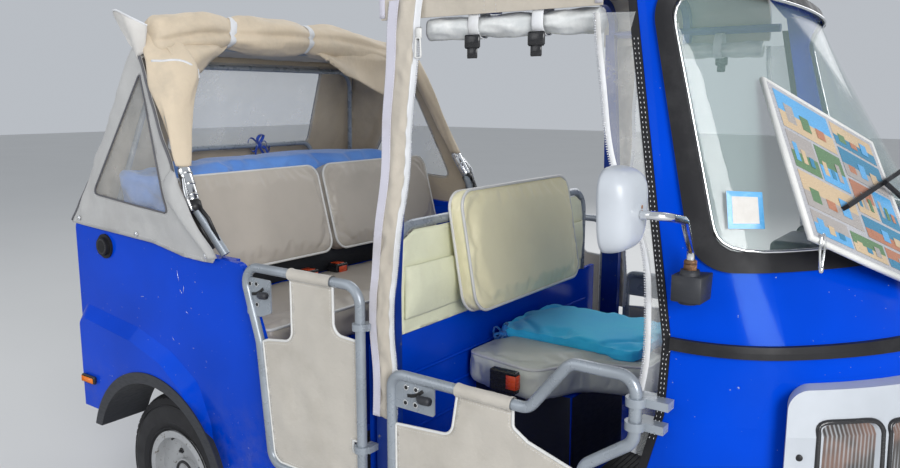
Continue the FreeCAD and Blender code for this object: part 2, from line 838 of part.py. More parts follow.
def bulkhead():
    x1 = bulkhead_x + bulkhead_wall
    inner = sill_inner - seat_gap
    outer = post_low_y - post_depth - seat_gap
    wall = box(bulkhead_x, x1, -inner, inner, floor_z + floor_wall + seat_gap, bulkhead_top_z)
    upper = box(bulkhead_x, x1, -outer, outer, sill_top_z + seat_gap, bulkhead_top_z)
    foot = bulkhead_top_z - 1.0
    rail = tube([Vector(grab_x, -grab_half, foot), Vector(grab_x, -grab_half, grab_z),
                 Vector(grab_x, grab_half, grab_z), Vector(grab_x, grab_half, foot)], grab_radius, grab_bend)
    return fused([wall, upper, rail])


def bulkhead_cover():
    half = grab_half - grab_radius - seat_gap
    high = grab_z - grab_radius - seat_gap
    low = bulkhead_top_z + seat_gap
    bend = grab_bend - grab_radius
    return end_plate([(-half, low), (half, low), (half, high), (-half, high)], [2.0, 2.0, bend, bend],
                     grab_x - cover_half_wall, grab_x + cover_half_wall)


# Roof frame and canvas
post_low_y = tub_half_width - 14.0
post_high_y = tub_half_width - 78.0
post_top_z = roof_z - 169.0
post_x = -62.0
post_depth = 22.0
post_foot_length = 64.0
post_belt_length = 60.0
post_top_length = 30.0
bow_radius = 11.0
middle_bow_x = 190.0
side_rail_front_x = 470.0
side_rail_radius = bow_radius + 1.0
roof_wall = 6.0
roof_half = tub_half_width - 56.0
side_rail_y = roof_half - roof_wall - bow_radius - 2.0
roof_low_z = roof_z - 205.0
roof_knee_z = roof_low_z + 50.0
roof_rear_x = -100.0
roof_front_x = 436.0
roof_front_z = roof_z - 57.0
roof_rear_drop = 48.0
roof_front_drop = 26.0
roof_shoulder = 92.0


def post():
    wires = []
    for z, y, length in ((sill_top_z + seat_gap, post_low_y, post_foot_length),
                         (belt_z, post_low_y, post_belt_length), (post_top_z, post_high_y, post_top_length)):
        x0, x1 = post_x - length / 2.0, post_x + length / 2.0
        points = [Vector(x0, -y, z), Vector(x1, -y, z), Vector(x1, -y + post_depth, z),
                  Vector(x0, -y + post_depth, z)]
        wires.append(Part.makePolygon(points + [points[0]]))
    return Part.makeLoft(wires, True, True)


def roof_edges(x, grow):
    """Three arcs over two short sides, in the plane across the body at x."""
    share = (x - roof_rear_x) / (roof_front_x - roof_rear_x)
    top = roof_z + (roof_front_z - roof_z) * share + grow
    drop = roof_rear_drop + (roof_front_drop - roof_rear_drop) * share
    half = roof_half + grow
    foot = Vector(x, -half, roof_low_z)
    knee = Vector(x, -half, roof_knee_z)
    join = Vector(x, -half + roof_shoulder, top - drop)
    corner = Vector(x, -half + roof_shoulder * 0.26, (knee.z + join.z) / 2.0 + 16.0)
    left = [foot, knee, corner, join]
    right = [Vector(p.x, -p.y, p.z) for p in left]
    return [
        Part.LineSegment(foot, knee).toShape(),
        Part.Arc(knee, corner, join).toShape(),
        Part.Arc(join, Vector(x, 0.0, top), right[3]).toShape(),
        Part.Arc(right[3], right[2], right[1]).toShape(),
        Part.LineSegment(right[1], right[0]).toShape(),
        Part.LineSegment(right[0], foot).toShape(),
    ]


def roof_solid(grow):
    return Part.makeLoft([Part.Wire(roof_edges(x, grow)) for x in (roof_rear_x, roof_front_x)], True, True)


def roof_canvas():
    return roof_solid(0.0).cut(roof_solid(-roof_wall))


def roof_frame():
    outside = -roof_wall - seat_gap
    ring = roof_solid(outside).cut(roof_solid(outside - 2.0 * bow_radius))
    shapes = [post(), mirrored(post())]
    for x in (post_x, middle_bow_x):
        shapes.append(ring.common(box(x - bow_radius, x + bow_radius, -beyond, beyond, 0.0, beyond)))
    for y in (-side_rail_y, side_rail_y):
        shapes.append(rod(Vector(post_x, y, post_top_z), Vector(side_rail_front_x, y, post_top_z), side_rail_radius))
    return fused(shapes)


# Canvas strip outside each centre post: height, distance from the middle, rear and front edge
flap_wall = 3.0
flap_rows = (
    (662.0, tub_half_width, -87.0, -20.0),
    (belt_z, tub_half_width, -87.0, -20.0),
    (roof_low_z + 40.0, roof_half + seat_gap + flap_wall, -65.0, 24.0),
)


def pillar_flap():
    wires = []
    for z, y, x0, x1 in flap_rows:
        points = [Vector(x0, -y, z), Vector(x1, -y, z), Vector(x1, -y + flap_wall, z), Vector(x0, -y + flap_wall, z)]
        wires.append(Part.makePolygon(points + [points[0]]))
    return Part.makeLoft(wires, True, True)


# Side curtain rolled up under the roof rail and its two straps
curtain_radius = 23.0
curtain_rear_x = 20.0
curtain_length = 405.0
curtain_y = roof_half - 29.0
curtain_z = roof_low_z - 24.0
curtain_strap_xs = (145.0, 297.0)
strap_half = 14.0
strap_half_wall = 1.5


def curtain():
    start = Vector(curtain_rear_x, -curtain_y, curtain_z)
    shapes = [rod(start, start + ahead * curtain_length, curtain_radius)]
    high = post_top_z - side_rail_radius - seat_gap
    for x in curtain_strap_xs:
        shapes.append(box(x - strap_half, x + strap_half, -side_rail_y - strap_half_wall,
                          -side_rail_y + strap_half_wall, curtain_z, high))
    return fused(shapes)


# Doors
rear_door_bend = 44.0
front_door_bend = 34.0
latch_half_wall = 2.0
latch_bend = 6.0
rear_door_outline = [(rear_door_hinge_x, door_low_z), (rear_door_hinge_x, rear_door_top_z),
                     (-522.0, rear_door_top_z), (-462.0, 768.0), (-430.0, door_low_z)]
front_door_outline = [(front_door_latch_x, door_low_z), (front_door_latch_x, front_door_top_z),
                      (340.0, front_door_top_z), (430.0, front_door_high_z),
                      (front_door_hinge_x, front_door_high_z), (front_door_hinge_x, 765.0),
                      (462.0, 690.0), (462.0, door_low_z)]
rear_latch_outline = [(-506.0, 835.0), (-455.0, 835.0), (-415.0, 850.0), (-415.0, 935.0), (-506.0, 935.0)]
front_latch_outline = [(-8.0, 700.0), (104.0, 700.0), (104.0, 767.0), (-8.0, 767.0)]


def door_frame(outline, bend, latch_outline):
    loop = ring_tube([Vector(x, -door_plane_y, z) for x, z in outline], door_tube_radius, bend)
    latch = side_plate(latch_outline, [latch_bend] * len(latch_outline), -door_plane_y - latch_half_wall,
                       -door_plane_y + latch_half_wall)
    return fused([loop, latch])


def rear_door_frame():
    return door_frame(rear_door_outline, rear_door_bend, rear_latch_outline)


def front_door_frame():
    return door_frame(front_door_outline, front_door_bend, front_latch_outline)


def inset(outline, gap):
    """Outline moved inwards by gap, for corners listed either way round."""
    area = sum(a[0] * b[1] - b[0] * a[1] for a, b in zip(outline, outline[1:] + outline[:1]))
    sense = 1.0 if area > 0.0 else -1.0
    lines = []
    for a, b in zip(outline, outline[1:] + outline[:1]):
        dx, dz = b[0] - a[0], b[1] - a[1]
        size = math.hypot(dx, dz)
        lines.append((a[0] - sense * dz / size * gap, a[1] + sense * dx / size * gap, dx, dz))
    result = []
    for i in range(len(lines)):
        x0, z0, dx0, dz0 = lines[i - 1]
        x1, z1, dx1, dz1 = lines[i]
        share = ((x1 - x0) * dz1 - (z1 - z0) * dx1) / (dx0 * dz1 - dz0 * dx1)
        result.append((x0 + dx0 * share, z0 + dz0 * share))
    return result


ring_wall = 7.0
ring_reach = door_tube_radius + ring_wall + 9.0
ring_clear = 6.0


def door_plate(outline, bends, hinges):
    y = -door_plane_y
    plate = side_plate(outline, bends, y - canvas_wall / 2.0, y + canvas_wall / 2.0)
    for x, z in hinges:
        plate = plate.cut(box(x - ring_reach, x + ring_reach, -beyond, 0.0, z - ring_clear,
                              z + hinge_height + ring_clear))
    return plate


def rear_door_canvas():
    inner = inset(rear_door_outline, door_tube_radius + seat_gap)
    bend = rear_door_bend - door_tube_radius
    hinge_x = inner[0][0]
    top = inner[1][1]
    outline = [inner[0], (hinge_x, 830.0), (-198.0, 835.0), (-198.0, top), (-341.0, top), (-341.0, 790.0),
               (-430.0, 778.0), inner[3], inner[4]]
    return door_plate(outline, [bend, 4.0, 30.0, 2.0, 2.0, 30.0, 4.0, 4.0, bend], rear_hinges)


def front_door_canvas():
    inner = inset(front_door_outline, door_tube_radius + seat_gap)
    bend = front_door_bend - door_tube_radius
    latch_x = inner[0][0]
    top = inner[1][1]
    low_x = inner[7][0]
    outline = [inner[0], (latch_x, 658.0), (150.0, 670.0), (165.0, top), (304.0, top), (304.0, 728.0),
               (340.0, 705.0), (low_x, 672.0), inner[7]]
    return door_plate(outline, [bend, 4.0, 30.0, 2.0, 2.0, 12.0, 12.0, 2.0, bend], front_hinges)


def hinge_loop(x, z, arm):
    """Loop round a door's upright tube, held by an arm at the same height."""
    centre = Vector(x, -door_plane_y, z)
    outer = rod(centre, centre + up * hinge_height, door_tube_radius + ring_wall)
    bore = rod(centre - up, centre + up * (hinge_height + 1.0), door_tube_radius + seat_gap)
    return outer.fuse(arm).cut(bore)


def door_hinges():
    shapes = []
    post_rear = post_x - post_belt_length / 2.0
    for x, z in rear_hinges:
        arm = box(x, post_rear + 3.0, -door_plane_y, -post_low_y - seat_gap, z, z + hinge_height)
        shapes.append(hinge_loop(x, z, arm))
    for x, z in front_hinges:
        arm = box(x, body_edge(z)[0] + body_wall, -door_plane_y, -door_plane_y + hinge_arm_depth, z, z + hinge_height)
        shapes.append(hinge_loop(x, z, arm.cut(hull(nose_sections, seat_gap, seat_gap))))
    return Part.makeCompound(shapes + [mirrored(s) for s in shapes])


# Hood: bows, canvas, windows and the rolled front part
hood_corners = {
    "front_low": (-655.0, tub_half_width + 10.0, tub_top_z - 33.0),
    "front_knee": (-742.0, tub_half_width + 32.0, tub_top_z + 105.0),
    "bow_top": (-1002.0, tub_half_width - 36.0, tub_top_z + 547.0),
    "rear_top": (-1160.0, tub_half_width - 160.0, tub_top_z + 520.0),
    "rear_low": (-1372.0, tub_half_width + 2.0, tub_top_z + 3.0),
}


def hood_solid(grow):
    """Closed hood form, its walls moved in or out and its front and floor kept in their planes."""
    low = Vector(*hood_corners["front_low"])
    knee = Vector(*hood_corners["front_knee"])
    bow = Vector(*hood_corners["bow_top"])
    rear = Vector(*hood_corners["rear_low"])
    front_slope = (knee.x - bow.x) / (knee.z - bow.z)
    floor_slope = (rear.z - low.z) / (rear.x - low.x)
    shift = {
        "front_low": Vector(0.0, grow, 0.0),
        "front_knee": Vector(0.0, grow, 0.0),
        "bow_top": Vector(grow * front_slope, grow, grow),
        "rear_top": Vector(-grow, grow, grow),
        "rear_low": Vector(-grow, grow, -grow * floor_slope),
    }
    points = {name: Vector(*corner) + shift[name] for name, corner in hood_corners.items()}
    right = {name: Vector(p.x, -p.y, p.z) for name, p in points.items()}
    faces = []

    def face(*corners):
        faces.append(Part.Face(Part.makePolygon(list(corners) + [corners[0]])))

    for p in (points, right):
        face(p["front_low"], p["front_knee"], p["rear_low"])
        face(p["front_knee"], p["bow_top"], p["rear_low"])
        face(p["bow_top"], p["rear_top"], p["rear_low"])
    face(points["bow_top"], points["rear_top"], right["rear_top"], right["bow_top"])
    face(points["rear_top"], points["rear_low"], right["rear_low"], right["rear_top"])
    face(points["front_low"], points["front_knee"], right["front_knee"], right["front_low"])
    face(points["front_knee"], points["bow_top"], right["bow_top"], right["front_knee"])
    face(points["front_low"], points["rear_low"], right["rear_low"], right["front_low"])
    return Part.makeSolid(Part.makeShell(faces))


quarter_window = [(-1226.0, 1098.0), (-812.0, 1072.0), (-981.0, 1458.0)]
quarter_bend = 18.0
rear_window = [(-330.0, 1210.0), (330.0, 1210.0), (300.0, 1500.0), (-300.0, 1500.0)]
rear_window_bend = 30.0


def hood_window_prisms(shrink):
    side = inset(quarter_window, shrink)
    back = inset(rear_window, shrink)
    return [side_plate(side, [quarter_bend - shrink] * 3, -beyond, beyond),
            end_plate(back, [rear_window_bend - shrink] * 4, -beyond, shelf_rear_x + 100.0)]


def hood_canvas():
    shell = hood_solid(0.0).cut(hood_solid(-canvas_wall))
    for prism in hood_window_prisms(0.0):
        shell = shell.cut(prism)
    return shell


def hood_windows():
    film = hood_solid(-1.5).cut(hood_solid(-3.0))
    panes = [film.common(prism) for prism in hood_window_prisms(seat_gap)]
    return Part.makeCompound([solid for pane in panes for solid in pane.Solids])


hood_bow_radius = 13.0
bow_bend = 90.0
# The right leg of the hood's main bow, from its foot over its knee to its corner
bow_leg = [
    Vector(-640.0, -tub_half_width + 24.0, tub_top_z - 35.7),
    Vector(-722.0, -tub_half_width - 10.0, tub_top_z + 97.0),
    Vector(-972.0, -tub_half_width + 45.0, tub_top_z + 540.0),
]
rear_bow_radius = 9.0
rear_bow_leg = [
    Vector(-1262.0, -tub_half_width + 80.0, tub_top_z + 3.4),
    Vector(-1150.0, -tub_half_width + 190.0, tub_top_z + 485.0),
]
rear_bow_bend = 80.0
rail_leg = [Vector(-1235.0, -300.0, tub_top_z + seat_gap), Vector(-1235.0, -300.0, tub_top_z + 210.0)]
rail_radius = 9.0
rail_bend = 50.0


def bow(leg, radius, bend):
    """Bent tube with like legs right and left."""
    return tube(leg + [Vector(p.x, -p.y, p.z) for p in reversed(leg)], radius, bend)


def hood_bows():
    return Part.makeCompound([bow(bow_leg, hood_bow_radius, bow_bend),
                              bow(rear_bow_leg, rear_bow_radius, rear_bow_bend)])


def rear_rail():
    return bow(rail_leg, rail_radius, rail_bend)


roll_radius = 54.0
roll_x = bow_leg[-1].x + 12.0
roll_bend = 200.0
# Middle line of the rolled canvas: y and z
roll_line = (
    (-tub_half_width + 58.0, 1560.0),
    (-400.0, 1584.0),
    (150.0, 1582.0),
    (tub_half_width - 95.0, 1524.0),
)


def hood_roll():
    roll = tube([Vector(roll_x, y, z) for y, z in roll_line], roll_radius, roll_bend)
    roll = roll.cut(bow(bow_leg, hood_bow_radius + seat_gap, bow_bend))
    return roll.cut(hood_solid(seat_gap).translated(ahead * seat_gap))


# Mirrors
mirror_low = Vector(575.0, -860.0, 1148.0)
mirror_size = Vector(47.0, 115.0, 138.0)
mirror_bend = 20.0
mirror_foot = Vector(646.0, -tub_half_width, 1050.0)
mirror_base_half = 24.0
mirror_arm_radius = 7.0


def mirror():
    return cushion(mirror_low, mirror_low + mirror_size, mirror_bend)


def mirror_arm():
    foot = mirror_foot
    back = mirror_low + Vector(mirror_size.x + seat_gap, 60.0, 64.0)
    arm = tube([foot, foot + up * 80.0, foot + Vector(16.0, -85.0, 146.0), back + ahead * 40.0, back],
               mirror_arm_radius, 24.0)
    base = box(foot.x - mirror_base_half, foot.x + mirror_base_half, foot.y - 15.0, foot.y + 90.0, foot.z - 6.0,
               foot.z + 36.0)
    return fused([arm, base.cut(hull(screen_sections, seat_gap, 80.0))])


# Stiff board leaning on the windscreen, its front face given by a corner and two edges
board_corner = Vector(693.4, -422.8, 1426.4)
board_across = Vector(141.8, 302.2, -125.3)
board_down = Vector(137.6, -168.8, -256.6)
board_thick = 10.0
board_normal = board_down.cross(board_across).normalize()


def display_board():
    points = [board_corner, board_corner + board_across, board_corner + board_across + board_down,
              board_corner + board_down]
    return Part.Face(rounded_wire(points, [6.0] * 4)).extrude(board_normal * -board_thick)


# Wiper lying over the board: blade, cranked arm and pivot on the cowl
blade_start = board_corner + board_across * 0.361 + board_down * 0.716
blade_along = Vector(0.1131, 0.9866, 0.1177)
blade_length = 400.0
blade_half = 4.0
blade_height = 14.0
wiper_pivot = Vector(978.0, 150.0, 1036.0)
pivot_boss_radius = 14.0
wiper_arm_radius = 5.0
pivot_height = 44.0


def wiper():
    base = blade_start + board_normal * seat_gap
    side = board_normal.cross(blade_along).normalize() * blade_half
    corners = [base - side, base + side, base + side + board_normal * blade_height,
               base - side + board_normal * blade_height]
    blade = Part.Face(Part.makePolygon(corners + [corners[0]])).extrude(blade_along * blade_length)
    grip = base + blade_along * (blade_length / 2.0) + board_normal * (blade_height + 5.0)
    top = wiper_pivot + ahead * pivot_height
    boss = rod(wiper_pivot - ahead * 40.0, top, pivot_boss_radius).cut(hull(screen_sections, seat_gap, 80.0))
    return fused([blade, rod(top - ahead * 6.0, grip, wiper_arm_radius), boss])


# Belt buckles: two lying on the bench, one standing on its strap beside the driver
bench_buckle_ys = (-125.0, 15.0)
bench_buckle_size = Vector(50.0, 56.0, 40.0)
driver_buckle_low = Vector(18.0, -300.0, 640.0)
driver_buckle_size = Vector(80.0, 24.0, 58.0)
buckle_bend = 5.0


def belt_buckles():
    shapes = []
    for y in bench_buckle_ys:
        low = Vector(-852.0, y - bench_buckle_size.y / 2.0, bench_top_z + seat_gap)
        shapes.append(cushion(low, low + bench_buckle_size, buckle_bend))
    low = driver_buckle_low
    strap = box(low.x + 16.0, low.x + 62.0, low.y + 10.0, low.y + 13.0, floor_z + floor_wall + seat_gap, low.z + 2.0)
    shapes.append(cushion(low, low + driver_buckle_size, buckle_bend).fuse(strap))
    return Part.makeCompound(shapes)


dashboard_low_z = 880.0
dashboard_high_z = 940.0
dashboard_rear_x = 800.0


def dashboard():
    block = hull(nose_sections, -body_wall - seat_gap)
    return block.common(box(dashboard_rear_x, beyond, -beyond, beyond, dashboard_low_z, dashboard_high_z))


nodes = {
    "chassis": chassis(),
    "floor_pan": floor_pan(),
    "front_shell": front_shell(),
    "windscreen": windscreen(),
    "front_seals": front_seals(),
    "headlamp_housings": both_sides(headlamp_housing()),
    "headlamp_lenses": headlamp_lenses(),
    "roof_frame": roof_frame(),
    "roof_canvas": roof_canvas(),
    "pillar_flaps": both_sides(pillar_flap()),
    "clear_curtains": both_sides(curtain()),
    "bulkhead": bulkhead(),
    "bulkhead_cover": bulkhead_cover(),
    "rear_side_right": rear_side(),
    "rear_side_left": mirrored(rear_side()),
    "rear_panel": rear_panel(),
    "engine_lid": engine_lid(),
    "arch_trims": both_sides(arch_trim()),
    "rear_lamps": rear_lamps(),
    "fuel_cap": fuel_cap(),
    "engine": engine(),
    "rear_axle": both_sides(swing_arm()),
    "rear_bench": bench(),
    "rear_backrests": both_sides(rear_backrest()),
    "shelf_cover": shelf_cover(),
    "driver_seat_box": driver_seat_box(),
    "driver_seat": driver_seat(),
    "driver_pad": driver_pad(),
    "driver_backrest": driver_backrest(),
    "steering_fork": steering_fork(),
    "front_fender": front_fender(),
    "handlebar": handlebar(),
    "front_tyre": tyre(wheel_centre(front_axle_x, 0.0)),
    "front_rim": rim(wheel_centre(front_axle_x, 0.0), 1.0),
    "rear_tyre_right": tyre(wheel_centre(rear_axle_x, -rear_track_half)),
    "rear_rim_right": rim(wheel_centre(rear_axle_x, -rear_track_half), -1.0),
    "rear_tyre_left": tyre(wheel_centre(rear_axle_x, rear_track_half)),
    "rear_rim_left": rim(wheel_centre(rear_axle_x, rear_track_half), 1.0),
    "rear_door_frame_right": rear_door_frame(),
    "rear_door_frame_left": mirrored(rear_door_frame()),
    "rear_door_canvas_right": rear_door_canvas(),
    "rear_door_canvas_left": mirrored(rear_door_canvas()),
    "front_door_frame_right": front_door_frame(),
    "front_door_frame_left": mirrored(front_door_frame()),
    "front_door_canvas_right": front_door_canvas(),
    "front_door_canvas_left": mirrored(front_door_canvas()),
    "door_hinges": door_hinges(),
    "hood_bows": hood_bows(),
    "hood_canvas": hood_canvas(),
    "hood_windows": hood_windows(),
    "rear_rail": rear_rail(),
    "hood_roll": hood_roll(),
    "mirrors": both_sides(mirror()),
    "mirror_arms": both_sides(mirror_arm()),
    "dashboard": dashboard(),
    "display_board": display_board(),
    "wiper": wiper(),
    "belt_buckles": belt_buckles(),
}

os.makedirs("parts", exist_ok=True)
for name, shape in nodes.items():
    solids = len(shape.Solids)
    print(name, solids, shape.isValid(), round(shape.Volume / 1e6, 2))
    shape.exportStep("parts/" + name + ".step")
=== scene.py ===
import json
import math

import bmesh
import bpy
from mathutils import Matrix, Vector, bvhtree, geometry, kdtree, noise


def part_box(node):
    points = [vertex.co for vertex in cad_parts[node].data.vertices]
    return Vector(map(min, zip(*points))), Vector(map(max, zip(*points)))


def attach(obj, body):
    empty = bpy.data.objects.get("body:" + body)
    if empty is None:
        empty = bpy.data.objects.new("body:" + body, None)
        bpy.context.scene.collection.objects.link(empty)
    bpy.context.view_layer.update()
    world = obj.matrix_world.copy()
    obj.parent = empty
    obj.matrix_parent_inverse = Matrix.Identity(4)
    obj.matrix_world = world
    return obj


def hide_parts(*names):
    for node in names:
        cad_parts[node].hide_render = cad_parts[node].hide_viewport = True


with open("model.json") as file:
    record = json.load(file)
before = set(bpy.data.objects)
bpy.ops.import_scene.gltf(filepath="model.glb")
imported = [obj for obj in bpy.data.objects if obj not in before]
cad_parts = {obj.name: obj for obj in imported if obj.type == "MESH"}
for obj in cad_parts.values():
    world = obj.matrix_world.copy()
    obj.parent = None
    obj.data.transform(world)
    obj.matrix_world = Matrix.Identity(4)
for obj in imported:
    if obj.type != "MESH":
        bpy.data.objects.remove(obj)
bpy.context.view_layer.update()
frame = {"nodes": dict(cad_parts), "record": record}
NODES = frame["nodes"]
SIDES = (("right", -1), ("left", 1))
UP = Vector((0, 0, 1))

# Camera of the photograph, in metres and degrees
CAMERA_PLACE = Vector((1.105, -1.967, 1.39))
CAMERA_YAW = 36.06
CAMERA_PITCH = 9.68
CAMERA_ROLL = 0.107
FOCAL_PIXELS = 797.3
IMAGE_WIDTH = 900
SENSOR = 36.0


def place_in_scene(obj):
    bpy.context.scene.collection.objects.link(obj)
    return obj


def make_camera():
    yaw, pitch, roll = (math.radians(a) for a in (CAMERA_YAW, CAMERA_PITCH, CAMERA_ROLL))
    level = math.cos(pitch)
    ahead = Vector((-math.sin(yaw) * level, math.cos(yaw) * level, -math.sin(pitch)))
    right = ahead.cross(UP).normalized()
    up = right.cross(ahead)
    right, up = right * math.cos(roll) + up * math.sin(roll), up * math.cos(roll) - right * math.sin(roll)
    data = bpy.data.cameras.new("camera")
    data.sensor_width = SENSOR
    data.lens = FOCAL_PIXELS * SENSOR / IMAGE_WIDTH
    data.clip_start = 0.02
    camera = place_in_scene(bpy.data.objects.new("camera", data))
    turned = Matrix((right, up, -ahead)).transposed().to_4x4()
    camera.matrix_world = Matrix.Translation(CAMERA_PLACE) @ turned
    bpy.context.scene.camera = camera


make_camera()


# Node helpers
class Tree:
    """One material's nodes, with short calls for the few kinds used here."""

    def __init__(self, name):
        self.material = bpy.data.materials.new(name)
        self.material.use_nodes = True
        self.nodes = self.material.node_tree.nodes
        self.place = self.nodes.new("ShaderNodeTexCoord").outputs["Object"]

    def fill(self, node, inputs):
        """Each input takes a value or is linked to another node's output."""
        for key, value in inputs.items():
            socket = node.inputs[key]
            if isinstance(value, bpy.types.NodeSocket):
                self.material.node_tree.links.new(value, socket)
            elif socket.type == "RGBA":
                socket.default_value = (*value, 1.0)
            elif value is not None:
                socket.default_value = value

    def add(self, kind, inputs, output=0, **settings):
        node = self.nodes.new("ShaderNode" + kind)
        for name, value in settings.items():
            setattr(node, name, value)
        self.fill(node, inputs)
        return node.outputs[output]

    def noise(self, scale, detail, stretch=(1, 1, 1), rough=0.5):
        place = self.add("Mapping", {"Vector": self.place, "Scale": stretch})
        inputs = {"Vector": place, "Scale": scale, "Detail": detail, "Roughness": rough}
        return self.add("TexNoise", inputs, "Fac")

    def wave(self, scale, direction):
        return self.add("TexWave", {"Vector": self.place, "Scale": scale}, "Fac", bands_direction=direction)

    def cells(self, scale):
        return self.add("TexVoronoi", {"Vector": self.place, "Scale": scale}, "Distance")

    def remap(self, value, low, high, to_low=0.0, to_high=1.0):
        return self.add("MapRange", dict(enumerate((value, low, high, to_low, to_high))))

    def maths(self, operation, a, b):
        return self.add("Math", {0: a, 1: b}, operation=operation)

    def mix(self, factor, a, b):
        return self.add("Mix", {"Factor": factor, 6: a, 7: b}, 2, data_type="RGBA")

    def height(self):
        return self.add("SeparateXYZ", {0: self.place}, "Z")

    def bump(self, height, strength, distance, below=None):
        inputs = {"Strength": strength, "Distance": distance, "Height": height, "Normal": below}
        return self.add("Bump", inputs)

    def finish(self, colour, normal, roughness, **constants):
        inputs = {"Base Color": colour, "Normal": normal, "Roughness": roughness}
        for name, value in constants.items():
            inputs[name.replace("_", " ").title().replace("Ior", "IOR")] = value
        self.fill(self.nodes["Principled BSDF"], inputs)
        return self.material


def darker(colour, share):
    return tuple(c * share for c in colour)


# Materials
def enamel(name, colour):
    """Gloss paint with faint ripple, road dust low down and small chips."""
    t = Tree(name)
    paint = t.mix(t.remap(t.noise(3.0, 3.0), 0.35, 0.65), colour, darker(colour, 0.8))
    low = t.remap(t.height(), 0.62, 0.25, 0.0, 0.55)
    film = t.maths("MULTIPLY", low, t.remap(t.noise(14.0, 6.0, rough=0.7), 0.42, 0.85))
    chips = t.remap(t.noise(90.0, 2.0, rough=0.8), 0.735, 0.75)
    worn = t.mix(chips, t.mix(film, paint, (0.16, 0.15, 0.13)), (0.30, 0.32, 0.36))
    gloss = t.remap(t.noise(20.0, 5.0), 0.3, 0.8, 0.12, 0.24)
    rough = t.maths("ADD", gloss, t.maths("MULTIPLY", film, 0.5))
    ripple = t.bump(t.noise(5.0, 2.0), 0.12, 0.01)
    skin = t.bump(t.noise(240.0, 2.0), 0.05, 0.0006, ripple)
    return t.finish(worn, skin, rough, specular_ior_level=0.14, specular_tint=(0.25, 0.60, 1.0),
                    coat_weight=0.03, coat_roughness=0.05)


def paint(name, colour, rough, worn=(0.2, 0.19, 0.18), amount=0.62):
    """Plain satin paint on steel, worn through in small specks."""
    t = Tree(name)
    shade = t.mix(t.remap(t.noise(9.0, 5.0), 0.3, 0.7), colour, darker(colour, 0.72))
    specks = t.remap(t.noise(55.0, 5.0, rough=0.75), amount, amount + 0.05)
    return t.finish(t.mix(specks, shade, worn), t.bump(t.noise(180.0, 3.0), 0.12, 0.0006),
                    t.remap(t.noise(30.0, 4.0), 0.3, 0.7, rough - 0.1, rough + 0.12), metallic=0.25)


def metal(name, colour, rough):
    """Bare or plated metal, faintly hazed."""
    t = Tree(name)
    haze = t.remap(t.noise(26.0, 6.0, rough=0.7), 0.35, 0.75, rough, rough + 0.18)
    shade = t.mix(t.remap(t.noise(12.0, 4.0), 0.4, 0.7), colour, darker(colour, 0.8))
    return t.finish(shade, t.bump(t.noise(400.0, 2.0), 0.04, 0.0003), haze, metallic=1.0)


def plastic(name, colour, rough, grain=700.0, depth=0.12, scuff=0.22):
    t = Tree(name)
    shade = t.mix(t.remap(t.noise(7.0, 5.0), 0.35, 0.7), colour, darker(colour, 0.86))
    scuffs = t.remap(t.noise(40.0, 6.0, (1, 1, 4), 0.7), 0.45, 0.8, rough - scuff * 0.36, rough + scuff)
    return t.finish(shade, t.bump(t.cells(grain), depth, 0.0005), scuffs)


def canvas(name, colour, fold=0.5, dirt=(0.30, 0.27, 0.22)):
    """Coated canvas: fine weave, soft creases and a little grime."""
    t = Tree(name)
    across = t.maths("ADD", t.wave(330.0, "X"), t.wave(330.0, "Y"))
    weave = t.maths("MULTIPLY", across, t.wave(330.0, "Z"))
    creases = t.noise(7.0, 5.0, rough=0.62)
    stain = t.remap(t.noise(4.5, 6.0, rough=0.65), 0.48, 0.78, 0.0, 0.6)
    pale = tuple(min(1.0, c * 1.08) for c in colour)
    shade = t.mix(stain, t.mix(t.remap(creases, 0.35, 0.65), colour, pale), dirt)
    fine = t.bump(t.noise(60.0, 4.0), 0.18, 0.0015, t.bump(creases, fold, 0.012))
    return t.finish(shade, t.bump(weave, 0.12, 0.0004, fine), t.remap(creases, 0.3, 0.7, 0.62, 0.8),
                    sheen_weight=0.15, sheen_roughness=0.5)


def vinyl(name, colour, grime):
    """Soft seat covering with a leather-like grain, greyer where it is handled."""
    t = Tree(name)
    soft = t.noise(9.0, 4.0)
    used = t.remap(t.noise(3.4, 5.0, rough=0.6), 0.42, 0.72, 0.0, 0.75)
    normal = t.bump(t.cells(420.0), 0.22, 0.0007, t.bump(soft, 0.25, 0.006))
    return t.finish(t.mix(used, colour, grime), normal, t.remap(soft, 0.3, 0.7, 0.36, 0.52))


def cloth(name, colour, second):
    t = Tree(name)
    weave = t.maths("MULTIPLY", t.wave(260.0, "X"), t.wave(260.0, "Y"))
    shade = t.mix(t.remap(t.noise(5.0, 5.0), 0.35, 0.65), colour, second)
    normal = t.bump(weave, 0.3, 0.0008, t.bump(t.noise(16.0, 4.0), 0.3, 0.004))
    return t.finish(shade, normal, 0.85, sheen_weight=0.3, sheen_roughness=0.4)


def rubber(name, colour):
    t = Tree(name)
    dust = t.remap(t.noise(9.0, 6.0, rough=0.7), 0.5, 0.85, 0.0, 0.4)
    return t.finish(t.mix(dust, colour, (0.06, 0.06, 0.062)), t.bump(t.noise(260.0, 3.0), 0.2, 0.0006),
                    t.remap(t.noise(22.0, 4.0), 0.3, 0.7, 0.42, 0.62), specular_ior_level=0.22)


def glass(name, colour, alpha):
    t = Tree(name)
    smear = t.remap(t.noise(6.0, 6.0, rough=0.7), 0.45, 0.8, 0.03, 0.15)
    return t.finish(colour, t.bump(t.noise(3.0, 1.0), 0.03, 0.002), smear, alpha=alpha,
                    specular_ior_level=0.8)


